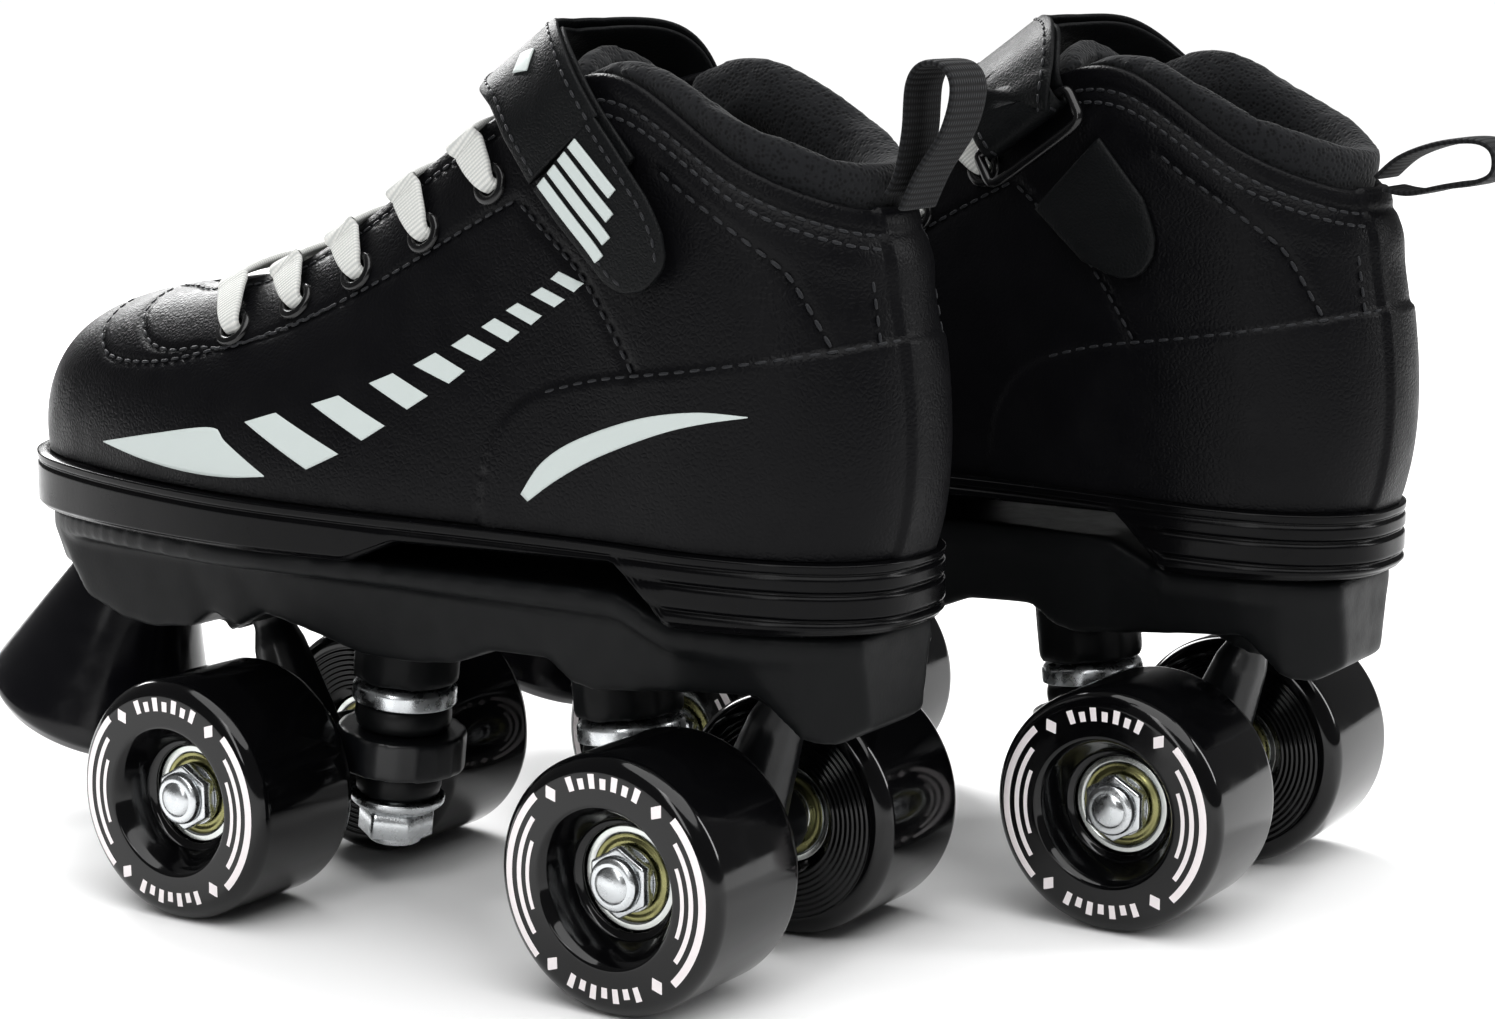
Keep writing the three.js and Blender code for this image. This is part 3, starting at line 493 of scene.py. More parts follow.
check_t, check_v = find_on_skin(-1, np.array([54.0, -13.6]), np.array([129.8, 163.4]))
print("first and last eyelet on the skin, degrees and height:", np.degrees(check_t).round(1),
      check_v.round(3))

# %% [markdown]
# ## Seams
# The upper is sewn from panels: a toe piece, the eyestay with its laces, the quarter and a stiff heel
# counter under the leather. A seam is a curve of a few [y, z] places on the skin. It shows as a shallow
# groove with stitches, and the counter stands a little proud. The relief is worked out once for every
# point of the skin, so the silver bars and the thread lie on the same surface.

# %% Seam lines and relief
TOE_SEAM = [[100, 132.5], [98, 127], [93.5, 123], [88, 121.5], [80, 121.3], [71, 122.2], [63, 124],
            [54, 126.3],
            [44, 129], [35, 132.3], [26, 136.5]]
TOE_SEAM_INNER = [[88, 135.5], [86, 131], [82, 127.5], [77, 125.2], [70, 124.4], [62, 125.8]]
EYESTAY_SEAM = [[62, 125.6], [53, 126.2], [44, 129.3], [28.5, 135.5], [10, 144.5], [-8, 154.2], [-21, 160.5]]
QUARTER_SEAM = [[-22.5, 160], [-38.5, 148], [-45.5, 140], [-51.5, 131.5], [-54, 127.5]]
COUNTER_EDGE = [[-17, 95], [-18.5, 104], [-20, 110], [-24.5, 117.5], [-32.5, 122.5], [-46, 126],
                [-69.5, 129.5],
                [-93.5, 133.6], [-103, 135.5]]
HEEL_SEAM = [[-59, 168], [-64, 164.3], [-71.5, 159.5], [-80, 153.5], [-85.5, 149], [-88.8, 144], [-91.5, 139],
             [-94, 134.2]]


def seam_path(half, keys, lift=0.0, count=240):
    """Points and normals of a seam, evenly spaced on the skin."""
    line = along(keys, count)
    return on_skin(half, line[:, 0], line[:, 1], lift)


def nearest_gap(points, path):
    """Distance from every point to the nearest point of a path, in blocks to spare memory."""
    flat = points.reshape(-1, 3)
    gaps = [np.sqrt(((block[:, None] - path[None]) ** 2).sum(2).min(1)) for block in np.array_split(flat, 40)]
    return np.concatenate(gaps).reshape(points.shape[:-1])


SEAM_PATHS = {}
for half in (-1, 1):
    keys = (TOE_SEAM, TOE_SEAM_INNER, EYESTAY_SEAM, QUARTER_SEAM, HEEL_SEAM)
    SEAM_PATHS[half] = np.concatenate([seam_path(half, key)[0] for key in keys])


def relief(half, t, v, points):
    """Height of the panels over the plain skin: grooves of 0.5 mm along the seams, a counter 0.9 mm
    proud behind its edge, a 1 mm back strip up the heel, and a folded edge at the top."""
    y, z = points[..., 1], points[..., 2]
    line = along(COUNTER_EDGE, 200)[::-1]
    edge = np.interp(y, line[:, 0], line[:, 1], right=0.0)
    counter = smooth_step((edge - z) / 1.6 + 0.5) * smooth_step((-17.5 - y) / 1.6 + 0.5)
    strip = smooth_step((7.5 - np.abs(points[..., 0])) / 1.2 + 0.5) * (t > 2.4)
    groove = np.zeros(np.shape(t))
    for value in np.unique(half):
        mine = half == value
        gap = nearest_gap(points[mine], SEAM_PATHS[int(value)])
        groove[mine] = np.exp(-((gap / 1.15) ** 2))
    edge_t = (skin(half, t, np.ones_like(v)) - points)
    below = np.linalg.norm(edge_t, axis=-1)
    topline = -0.45 * np.exp(-(((below - 3.6) / 1.0) ** 2))
    padding = 0.9 * np.exp(-(((below - 9.5) / 5.0) ** 2)) * smooth_step((t - 2.1) / 0.3)
    return 0.9 * counter + 1.0 * strip - 0.55 * groove + topline + padding


# %% [markdown]
# ## The upper
# The wall is one closed shell: the outer skin with its relief, a rolled edge at the top, and the inside
# face 2.6 mm in. A fine grid of a little under a millimetre carries the grooves without jagged edges.

# %% Upper
def upper_parts():
    """Outer skin, rolled top edge and inner face as one grid of rings from the sole up and back down."""
    columns = 620
    phi = np.linspace(0, 2 * np.pi, columns + 1)
    t = np.where(phi <= np.pi, phi, 2 * np.pi - phi)
    half = np.where(phi <= np.pi, -1.0, 1.0)
    rows = np.r_[np.linspace(0, 0.9, 88), np.linspace(0.91, 1.0, 14)]
    T, U = np.meshgrid(t, rows)
    H = np.broadcast_to(half, T.shape)
    plain = skin(H, T, U)
    normal = skin_normal(H, T, U)
    outer = plain + normal * relief(H, T, U, plain)[..., None]
    few = np.linspace(1, 0, 14)
    T2, U2 = np.meshgrid(t, few)
    H2 = np.broadcast_to(half, T2.shape)
    inner = skin(H2, T2, U2) - skin_normal(H2, T2, U2) * WALL
    inner[..., 2] = np.maximum(inner[..., 2], rim_top(inner[..., 1]) + 1.5)
    end, rim_normal = outer[-1], normal[-1]
    start = inner[0]
    middle, reach = (end + start) / 2, np.linalg.norm(end - start, axis=-1, keepdims=True) / 2
    upward = unit(plain[-1] - plain[-4])
    turn = np.linspace(0, np.pi, 8)[1:-1, None, None]
    edge = middle + reach * (np.cos(turn) * rim_normal + np.sin(turn) * upward)
    return [(part, numbered(part)) for part in [np.concatenate([outer, edge, inner])]]


UPPER = upper_parts()
for side in SIDES:
    piece = build(f"{side}_boot_upper", side, UPPER, f"{side}_skate", LEATHER)
    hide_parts(f"{side}_upper")
print("upper:", len(piece.data.polygons), "faces a side")

# %% [markdown]
# ## Thread
# Each stitch is one small bead of thread lying in the seam. A bead is a squashed ellipsoid of a few dozen
# faces; its copies are placed by whole arrays, along the seam, across it, and up along the normal.

# %% Stitches
def beads(path, up, pitch=3.0, length=2.2, width=0.75, height=0.55):
    """Points of stitches spaced along a path: centre + a*along + b*across + c*up of an ellipsoid."""
    run = np.r_[0, np.cumsum(np.linalg.norm(np.diff(path, axis=0), axis=1))]
    count = max(int(run[-1] / pitch), 2)
    at = (np.arange(count) + 0.5) * run[-1] / count
    centre = np.stack([np.interp(at, run, path[:, k]) for k in range(3)], 1)
    lifted = unit(np.stack([np.interp(at, run, up[:, k]) for k in range(3)], 1))
    ahead = unit(np.stack([np.interp(at + 0.3, run, path[:, k]) - np.interp(at - 0.3, run, path[:, k])
                           for k in range(3)], 1))
    across = np.cross(lifted, ahead)
    polar = np.linspace(0, np.pi, 7)[:, None]
    around = np.linspace(0, 2 * np.pi, 9)[None, :]
    a = np.broadcast_to(-np.cos(polar) * length / 2, (7, 9))
    b = np.sin(polar) ** 0.6 * np.cos(around) * width / 2
    c = np.sin(polar) ** 0.6 * np.sin(around) * height / 2
    shape = lambda w, k: w[:, None, None, :] * k[None, :, :, None]
    return centre[:, None, None, :] + shape(ahead, a) + shape(across, b) + shape(lifted, c)


def build_beads(name, side, groups, body, finish):
    """One object that holds all the stitches of several seams."""
    parts = [(grid, numbered(grid)) for group in groups for grid in group]
    points = np.concatenate([grid.reshape(-1, 3) for grid, _ in parts])
    faces = np.concatenate([sheet_faces(7, 9) + 63 * i for i in range(len(parts))])
    if side == "right":
        faces = faces[:, ::-1]
    mesh = bpy.data.meshes.new(name)
    mesh.from_pydata(stand(side, points), [], faces)
    made = bmesh.new()
    made.from_mesh(mesh)
    bmesh.ops.remove_doubles(made, verts=made.verts, dist=2e-6)
    bmesh.ops.recalc_face_normals(made, faces=made.faces)
    made.to_mesh(mesh)
    made.free()
    mesh.polygons.foreach_set("use_smooth", np.full(len(mesh.polygons), True))
    mesh.materials.append(finish)
    piece = bpy.data.objects.new(name, mesh)
    bpy.context.scene.collection.objects.link(piece)
    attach(piece, body)
    print(name, "has", len(parts), "stitches")
    return piece


def below_top(half, t, gap, lift=0.0):
    """Skin points a given length below the top edge, with their normals."""
    rows = np.linspace(1, 0.5, 60)
    T, U = np.meshgrid(t, rows, indexing="ij")
    ribs = skin(half, T, U)
    run = np.cumsum(np.linalg.norm(np.diff(ribs, axis=1), axis=2), axis=1)
    run = np.c_[np.zeros(len(t)), run]
    v = np.array([np.interp(gap, row, rows) for row in run])
    normal = skin_normal(half, t, v)
    return skin(half, t, v) + normal * lift, normal


def boot_seams():
    """Stitch rows of one boot: toe, eyestay, quarter, counter, heel, back strip and top edge."""
    rows = []
    for half in (-1, 1):
        for key in (TOE_SEAM, TOE_SEAM_INNER, EYESTAY_SEAM, QUARTER_SEAM):
            path, up = seam_path(half, key, -0.1)
            rows.append(beads(path, up))
        path, up = seam_path(half, HEEL_SEAM, 0.1)
        rows.append(beads(path, up, pitch=3.6, length=2.6, width=0.85))
        path, up = seam_path(half, COUNTER_EDGE[4:], 0.5)
        rows.append(beads(path, up, pitch=3.4, length=2.4))
        t = np.linspace(2.2, np.pi, 200)
        for gap, lift in ((4.2, 0.1), (7.0, 0.75)):
            path, up = below_top(half, t, gap, lift)
            rows.append(beads(path, up, pitch=2.9, width=0.8))
        t = np.linspace(0.35, 1.95, 160)
        path, up = below_top(half, t, 3.6, -0.1)
        rows.append(beads(path, up, pitch=2.9))
        strip_t = np.full(150, 2.96)
        strip_v = np.linspace(0.04, 0.9, 150)
        up = skin_normal(half, strip_t, strip_v)
        rows.append(beads(skin(half, strip_t, strip_v) + 0.35 * up, up, pitch=3.2))
    return rows


BOOT_STITCHES = boot_seams()
for side in SIDES:
    build_beads(f"{side}_boot_stitching", side, BOOT_STITCHES, f"{side}_skate", THREAD)

# %% [markdown]
# ## Silver bars
# On the outer side a pointed fin, a row of slanted bars that shrink towards the ankle and a curved blade
# are pressed on as thin film. Each is a small patch between two edges, laid on the skin and its relief.

# %% Bars, fin and blade
BARS = [  # front top, rear top, rear bottom, front bottom of each bar: [y, z]
    [[42, 111.5], [34, 114], [16.5, 106.6], [24.5, 102.8]],
    [[25, 116.4], [18.3, 118.6], [5.6, 113.2], [11, 109.8]],
    [[11, 121.6], [5.3, 124], [-4.2, 120], [0.6, 116.9]],
    [[0.4, 126], [-4.8, 128.8], [-12.7, 125.6], [-9, 122.8]],
    [[-8.6, 130.5], [-12.6, 133], [-20, 130.4], [-16.4, 127.9]],
    [[-15.8, 134.7], [-19, 136.7], [-25.6, 134.3], [-22.8, 132.1]],
    [[-21.7, 138.4], [-24.5, 140.1], [-31, 137.9], [-28.4, 135.9]],
    [[-27.8, 142], [-30.5, 143.6], [-36.6, 141.5], [-34, 139.8]],
    [[-32.6, 145.4], [-34.6, 147], [-41, 145], [-38.8, 143.1]],
]
FIN_TOP = [[87.5, 103.2], [69, 106.8], [51.5, 109.6], [46.8, 107], [35.5, 100.6]]
FIN_LOW = [[87.5, 103.0], [72, 100.6], [58, 99.4], [46, 99.4], [35.5, 100.4]]
BLADE_TOP = [[-80, 121], [-69, 121.2], [-56, 119], [-41.5, 113.8], [-33, 108.5], [-27.8, 101.6]]
BLADE_LOW = [[-80, 120.8], [-70, 118.9], [-60, 116], [-46, 110.4], [-36.5, 105.2], [-29.4, 100.2]]
FILM_LIFT = 0.16


def patch(half, upper_edge, lower_edge, columns=40, rows=16):
    """Film between two edges: straight lines from one to the other, laid on the skin and its relief."""
    top, low = along(upper_edge, columns), along(lower_edge, columns)
    share = np.linspace(0, 1, rows)[:, None, None]
    flat = top * (1 - share) + low * share
    t, v = find_on_skin(half, flat[..., 0], flat[..., 1])
    plain = skin(half, t, v)
    lift = relief(np.full(t.shape, float(half)), t, v, plain) + FILM_LIFT
    return plain + skin_normal(half, t, v) * lift[..., None]


def slab(grid, thickness):
    """A thin closed plate under a grid: the grid, its rim and its copy set back along the normal."""
    down = np.gradient(grid, axis=0)
    over = np.gradient(grid, axis=1)
    normal = unit(np.cross(over, down))
    outward = np.sign((normal * [-1, 0, 0]).sum()) or 1
    back = grid - normal * outward * thickness
    ring = lambda g: np.concatenate([g[:1], g, g[-1:]], 0)
    front = ring(grid)
    front[0], front[-1] = back[0], back[-1]
    front = np.concatenate([front[:, :1], front, front[:, -1:]], 1)
    front[1:-1, 0], front[1:-1, -1] = back[:, 0], back[:, -1]
    front[0, 0], front[0, -1], front[-1, 0], front[-1, -1] = back[0, 0], back[0, -1], back[-1, 0], back[-1,
                                                                                                        -1]
    return [(front, numbered(front)), (back[:, ::-1], numbered(back))]


FILMS = []
for a, b, c, d in BARS:
    FILMS += slab(patch(-1, [a, b], [d, c], 14, 20), 0.3)
FILMS += slab(patch(-1, FIN_TOP, FIN_LOW, 48, 12), 0.3)
FILMS += slab(patch(-1, BLADE_TOP, BLADE_LOW, 60, 10), 0.3)
for side in SIDES:
    build(f"{side}_silver_bars", side, FILMS, f"{side}_skate", BAR_FILM)
print("bars pressed on each outer side:", len(BARS), "and two blades")

# %% [markdown]
# ## Eyelets and lace
# Enamelled eyelets are rolled rings set in the leather. The lace is one flat woven tape: it comes up
# through an eyelet, crosses the throat to the other side, goes down, and slants under the leather to the
# next row. The tape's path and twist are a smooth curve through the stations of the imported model.

# %% Turned shapes and bands
def frame_of(axis):
    """Two unit vectors square to an axis."""
    axis = unit(axis)
    helper = np.array([0.0, 0.0, 1.0]) if abs(axis[2]) < 0.9 else np.array([1.0, 0.0, 0.0])
    first = unit(np.cross(helper, axis))
    return first, np.cross(axis, first)


def turned(profile, start, axis, columns=96):
    """A profile of [radius, distance] turned round an axis: start + axis*h + r*(cos, sin)."""
    profile = np.asarray(profile, float)
    first, second = frame_of(axis)
    angle = np.linspace(0, 2 * np.pi, columns + 1)[None, :, None]
    radius, height = profile[:, 0][:, None, None], profile[:, 1][:, None, None]
    grid = np.asarray(start, float) + unit(axis) * height
    grid = grid + radius * (np.cos(angle) * first + np.sin(angle) * second)
    return grid, numbered(grid)


def rounded(corners, radius=0.5, steps=5):
    """A polyline of [radius, distance] with each inner corner replaced by a small arc."""
    corners = np.asarray(corners, float)
    made = [corners[0]]
    for before, here, after in zip(corners[:-2], corners[1:-1], corners[2:]):
        reach = min(radius, 0.45 * np.linalg.norm(here - before), 0.45 * np.linalg.norm(after - here))
        start, end = here + unit(before - here) * reach, here + unit(after - here) * reach
        s = np.linspace(0, 1, steps)[:, None]
        made.extend((1 - s) ** 2 * start + 2 * s * (1 - s) * here + s ** 2 * end)
    made.append(corners[-1])
    return np.array(made)


def band(centre, across, width, thickness, crown=0.0, around=24):
    """A flat tape with round edges along a path. Its section is a superellipse: a = |cos|^0.35 across,
    b = |sin|^0.6 up; the first and last rings close to a line."""
    ahead = unit(np.gradient(centre, axis=0))
    across = unit(across - ahead * (across * ahead).sum(1, keepdims=True))
    up = np.cross(ahead, across)
    angle = np.linspace(0, 2 * np.pi, around + 1)
    a = np.sign(np.cos(angle)) * np.abs(np.cos(angle)) ** 0.35
    b = np.sign(np.sin(angle)) * np.abs(np.sin(angle)) ** 0.6
    width = np.broadcast_to(width, len(centre))
    high = np.full(len(centre), thickness / 2)
    grid = centre[:, None] + across[:, None] * (a[None, :, None] * width[:, None, None] / 2)
    lift = b[None, :] * high[:, None] - crown * (a[None, :] ** 2)
    grid = grid + up[:, None] * lift[..., None]
    flat = grid.copy()
    mean = centre[:, None] + across[:, None] * (a[None, :, None] * width[:, None, None] / 2)
    grid = np.concatenate([mean[:1] - up[:1, None] * crown * (a ** 2)[None, :, None], flat,
                           mean[-1:] - up[-1:, None] * crown * (a ** 2)[None, :, None]])
    run = np.r_[0, 0, np.cumsum(np.linalg.norm(np.diff(centre, axis=0), axis=1))]
    run = np.r_[run, run[-1]]
    cloth = np.stack(np.broadcast_arrays(a[None, :] * width.mean() / 2, run[:, None]), -1)
    return grid, cloth


# %% Eyelets
EYELETS = np.array([[54, 129.8], [38.2, 136.4], [21.8, 143.6], [3.8, 152.6], [-13.6, 163.4]])
EYELET_PROFILE = rounded([[2.4, -2.2], [2.4, 0.7], [3.2, 1.25], [4.4, 0.9], [4.6, 0.1]], 0.7)
EYELET_RINGS = []
for half in (-1, 1):
    places, normals = on_skin(half, EYELETS[:, 0], EYELETS[:, 1])
    EYELET_RINGS += [turned(EYELET_PROFILE, p, n, 40) for p, n in zip(places, normals)]
for side in SIDES:
    build(f"{side}_eyelets", side, EYELET_RINGS, f"{side}_skate", ENAMEL, closed=False)

# %% Lace
LEAN = 9.0  # a bar's middle lies this far ahead of its eyelets
THROAT = RIBS[3:9][::-1][:, [3, 4]]


def throat_angle(y):
    """Rib angle whose top edge is at length y."""
    t = np.linspace(3, 9, 400) * RIB_STEP
    top = spline(RIB_KEYS, t / RIB_STEP + 1)[:, 3]
    return np.interp(-y, -top, t)


def lace_stations():
    """Centres, width directions and widths of the tape, row after row."""
    centres, widths, across = [], [], []
    middles = [np.array([0.0, y + LEAN, ramp(THROAT, y + LEAN)]) for y, _ in EYELETS]
    for row, (y, z) in enumerate(EYELETS):
        after, before = EYELETS[min(row + 1, 4)], EYELETS[max(row - 1, 0)]
        slope = unit(np.array([0.0, after[0] - before[0], after[1] - before[1]]))
        up = np.array([0.0, slope[2], -slope[1]])
        edge = throat_angle(y + LEAN)
        run = []
        for half in (-1, 1):
            t, v = find_on_skin(half, np.array([y]), np.array([z]))
            share = np.array([0.22, 0.55, 0.85])
            T, U = t + (edge - t) * share, v + (1 - v) * share
            over = skin(half, T, U) + skin_normal(half, T, U) * np.array([2.1, 2.5, 2.5])[:, None]
            hole, normal = skin(half, t, v)[0], skin_normal(half, t, v)[0]
            run.append([(hole - 3.7 * normal, 3.2), (hole + 1.1 * normal, 4.3), (over[0], 6.8),
                        (over[1], 8.2),
                        (over[2], 8.7)])
        stations = run[0] + [(middles[row] + 3.4 * up, 8.7)] + run[1][::-1]
        for point, width in stations:
            centres.append(point)
            widths.append(width)
            across.append(slope)
        if row < 4:
            for x, share, drop in ((13, 0.3, 4.0), (0, 0.5, 1.4), (-13, 0.7, 4.0)):
                middle = middles[row] * (1 - share) + middles[row + 1] * share
                centres.append(middle - up * drop + [x, 0, 0])
                widths.append(3.1)
                across.append(slope)
    return np.array(centres), np.array(across), np.array(widths)


LACE_C, LACE_A, LACE_W = lace_stations()
LACE_U = np.linspace(0, len(LACE_C) - 1, 16 * len(LACE_C))
LACE_PATH = spline(LACE_C, LACE_U)
LACE_BAND = band(LACE_PATH, unit(spline(LACE_A, LACE_U)), spline(LACE_W, LACE_U), 1.7, 0.0, 20)
LACE_LENGTH = np.linalg.norm(np.diff(LACE_PATH, axis=0), axis=1).sum()
print("lace length in the boot, mm:", LACE_LENGTH.round(0))
for side in SIDES:
    piece = build(f"{side}_flat_lace", side, [LACE_BAND], f"{side}_skate", LACE)
    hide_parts(f"{side}_lace")

# %% [markdown]
# ## Collar and tongue
# The collar is foam wrapped in spacer mesh: a fat rounded lip that stands above the leather and rolls
# down inside. The tongue is a padded tab under the laces. Both sections are closed smooth curves carried
# along the ribs, then puffed a little by a cloth simulation with inner pressure.

# %% Padding by cloth simulation
CLOTH_STEPS = 20
PAD_CUBE = 1.6  # mm, edge of a remeshing cube
PAD_PRESSURE = 60.0  # small pads need far more than a seat cushion before they move at all


def puff(piece, side, grid, free, cap_mm):
    """Swells a padded piece in place. The shape is remeshed in cubes, blown up as cloth with an inner
    pressure and no gravity, and each point moves by at most cap_mm times the share free of its nearest
    grid point. One subdivision rounds the result."""
    scene = bpy.context.scene
    tree = KDTree(grid.shape[0] * grid.shape[1])
    for number, point in enumerate(stand(side, grid.reshape(-1, 3))):
        tree.insert(point, number)
    tree.balance()
    cubes = piece.modifiers.new("cubes", "REMESH")
    cubes.mode, cubes.voxel_size = "VOXEL", PAD_CUBE * MM
    rest = bpy.data.meshes.new_from_object(piece.evaluated_get(bpy.context.evaluated_depsgraph_get()))
    piece.modifiers.clear()
    piece.data = rest
    before = np.empty(3 * len(rest.vertices), np.float32)
    rest.vertices.foreach_get("co", before)
    before = before.reshape(-1, 3)
    share = np.array([free.ravel()[tree.find(point)[1]] for point in before])
    cloth = piece.modifiers.new("cloth", "CLOTH")
    cloth.settings.use_pressure = True
    cloth.settings.uniform_pressure_force = PAD_PRESSURE
    cloth.settings.effector_weights.gravity = 0
    for step in range(1, CLOTH_STEPS + 1):
        scene.frame_set(step)
    blown = bpy.data.meshes.new_from_object(piece.evaluated_get(bpy.context.evaluated_depsgraph_get()))
    piece.modifiers.clear()
    after = np.empty(3 * len(blown.vertices), np.float32)
    blown.vertices.foreach_get("co", after)
    move = after.reshape(-1, 3) - before
    far = np.linalg.norm(move, axis=1, keepdims=True)
    move *= np.minimum(1, cap_mm * MM * share[:, None] / np.maximum(far, 1e-9))
    rest.vertices.foreach_set("co", (before + move).ravel())
    round_off = piece.modifiers.new("round", "SUBSURF")
    round_off.levels = round_off.render_levels = 1
    smooth = bpy.data.meshes.new_from_object(piece.evaluated_get(bpy.context.evaluated_depsgraph_get()))
    piece.modifiers.clear()
    piece.data = smooth
    smooth.polygons.foreach_set("use_smooth", np.full(len(smooth.polygons), True))
    scene.frame_set(1)
    loose = share > 0.5
    print(piece.name, "puffed, mm: free points", loose.sum(), "before the cap",
          (far[loose].mean() / MM).round(2), "kept",
          (np.linalg.norm(move[loose], axis=1).mean() / MM).round(2))


# %% Collar sections
COLLAR_FRONT = 11 * np.pi / 16
COLLAR_RISE = [[11, 2.5], [12, 5], [13, 10], [14, 12], [16, 11.5]]


def closed_curve(points, count):
    """Evenly sampled smooth closed curve through points, for a whole batch: (batch, points, 3)."""
    points = np.asarray(points, float)
    number = points.shape[1]
    u = np.linspace(0, number, count + 1)
    i = np.floor(u).astype(int)
    f = (u - i)[None, :, None]
    a, b, c, d = (points[:, (i + k) % number] for k in (-1, 0, 1, 2))
    return b + 0.5 * f * (c - a + f * (2 * a - 5 * b + 4 * c - d + f * (3 * (b - c) + d - a)))


def collar_grid(stations=150, around=44):
    """Rings of the collar from the outer side round the heel to the inner side."""
    s = np.linspace(-1, 1, stations)
    t = np.pi - np.abs(s) * (np.pi - COLLAR_FRONT)
    half = np.where(s < 0, -1.0, 1.0)
    rise = ramp(COLLAR_RISE, t / np.pi * 16)

    def at(v, depth, up):
        v = np.full_like(t, v)
        return skin(half, t, v) - skin_normal(half, t, v) * depth + np.stack([0 * t, 0 * t, 0 * t + up], -1)

    ring = [at(0.78, WALL + 0.4, 0), at(0.9, WALL + 0.4, 0), at(1, WALL + 0.3, 0.2), at(1, 1.6, rise * 0.5),
            at(1, 1.9, rise - 1.8), at(1, 5.0, rise + 0.6), at(1, 8.6, rise - 2.2), at(0.96, 9.6, 0),
            at(0.9, 9.2, 0),
            at(0.78, 5.6, 0)]
    grid = closed_curve(np.stack(ring, 1), around)
    middle = grid[:, :-1].mean(1, keepdims=True)
    grid = np.concatenate([np.broadcast_to(middle[:1], grid[:1].shape),
                           middle[:1] + 0.6 * (grid[:1] - middle[:1]), grid,
                           middle[-1:] + 0.6 * (grid[-1:] - middle[-1:]),
                           np.broadcast_to(middle[-1:], grid[:1].shape)])
    return grid


COLLAR = collar_grid()
TURN = np.linspace(0, 10, COLLAR.shape[1])  # place on the closed section, counted in its ten keys
COLLAR_FREE = np.broadcast_to(smooth_step((TURN - 3.6) / 0.8) * smooth_step((8.6 - TURN) / 0.8),
                              COLLAR.shape[:2])
for side in SIDES:
    piece = build(f"{side}_padded_collar", side, [(COLLAR, numbered(COLLAR))], f"{side}_skate",
                  KNIT)
    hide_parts(f"{side}_collar_padding")
    puff(piece, side, COLLAR, COLLAR_FREE, cap_mm=1.6)

# %% Tongue
TONGUE = np.array([  # y, z of its crest, half-width, fall at its edge, thickness
    [80, 132.6, 9, 2.0, 2.5], [66, 134.4, 13, 4.6, 3.0], [46, 139.6, 16, 6.2, 3.5], [24, 149.6, 16, 7.0, 4.0],
    [4, 162.5, 15, 7.6, 5.0], [-7, 175.0, 15.4, 6.8, 6.5], [-17, 184.6, 16, 6.6, 7.0],
    [-25.5, 192.5, 14, 5.0, 6.0],
])


def tongue_grid(stations=110, around=40):
    """Sections across the tongue: crest + a*half-width, falling by a^2, with a soft back."""
    rows = along(TONGUE, stations)
    tangent = unit(np.gradient(rows[:, :2], axis=0))
    down = np.stack([0 * rows[:, 0], tangent[:, 1], -tangent[:, 0]], 1)
    down = down * np.sign(-down[:, 2:3] + 1e-9)
    angle = np.linspace(0, 2 * np.pi, around + 1)
    a = np.sign(np.cos(angle)) * np.abs(np.cos(angle)) ** 0.7
    deep = 0.5 - 0.5 * np.sign(np.sin(angle)) * np.abs(np.sin(angle)) ** 0.8
    across = rows[:, 2][:, None] * a[None, :]
    fall = rows[:, 3][:, None] * a[None, :] ** 2 + rows[:, 4][:, None] * deep[None, :]
    crest = np.stack([0 * rows[:, 0], rows[:, 0], rows[:, 1]], 1)
    grid = crest[:, None] + down[:, None] * fall[..., None]
    grid[..., 0] = across
    middle = grid[:, :-1].mean(1, keepdims=True)
    caps = [np.broadcast_to(middle[:1], grid[:1].shape), middle[:1] + 0.6 * (grid[:1] - middle[:1])]
    tail = [middle[-1:] + 0.75 * (grid[-1:] - middle[-1:]) + [0, -0.7, 0.8],
            np.broadcast_to(middle[-1:], grid[:1].shape)]
    return np.concatenate([*caps, grid, *tail])


TONGUE_GRID = tongue_grid()
TONGUE_FREE = smooth_step((TONGUE_GRID[..., 2] - 180) / 5)
for side in SIDES:
    piece = build(f"{side}_padded_tongue", side, [(TONGUE_GRID, numbered(TONGUE_GRID))], f"{side}_skate",
                  LINING)
    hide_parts(f"{side}_tongue")
    puff(piece, side, TONGUE_GRID, TONGUE_FREE, cap_mm=0.8)

# %% [markdown]
# ## Straps
# The instep strap is sewn to the outer side, crosses the instep, turns round a wire ring on the inner
# side and comes back over itself. Its loose end peels away, so it is a piece of its own on its own body.
# A row of stitches runs along each edge, as on any two layers of leather sewn face to face.

# %% Strap path
STRAP_T, LAYER, LIFT, STRAP_W = 1.7, 2.3, 2.0, 22.0
RING_WIRE = 1.2
TURN_R = RING_WIRE + 0.5 + STRAP_T / 2
OVER = np.array([[-20.5, -22, 186.4], [-10.5, -13.4, 187.9], [0, -10, 188.3], [10.5, -13.4, 187.9],
                 [21.4, -22, 186.8]])
ACROSS = unit(np.array([0, -0.82, 0.57]))
SEWN_IN = [[-47, 162.5, 0], [-38.4, 171, 0], [-31.5, 179, 1.2]]
STRAP_END = np.array([[-38.9, 170.3, 20], [-46.5, 163, 19.5], [-53, 156, 18.5], [-57.2, 150, 16.5],
                      [-60, 145.2, 10]])
BAR_P, BAR_N = (x[0] for x in on_skin(1, np.array([-26.5]), np.array([173.5]),
                                      np.array([TURN_R + STRAP_T / 2 + 1.8])))
BAR_DOWN = unit(np.cross(ACROSS, BAR_N))
BAR_DOWN = BAR_DOWN if BAR_DOWN[2] < 0 else -BAR_DOWN
BAR_N = unit(np.cross(BAR_DOWN, ACROSS))
BAR_N = BAR_N if BAR_N[0] > 0 else -BAR_N


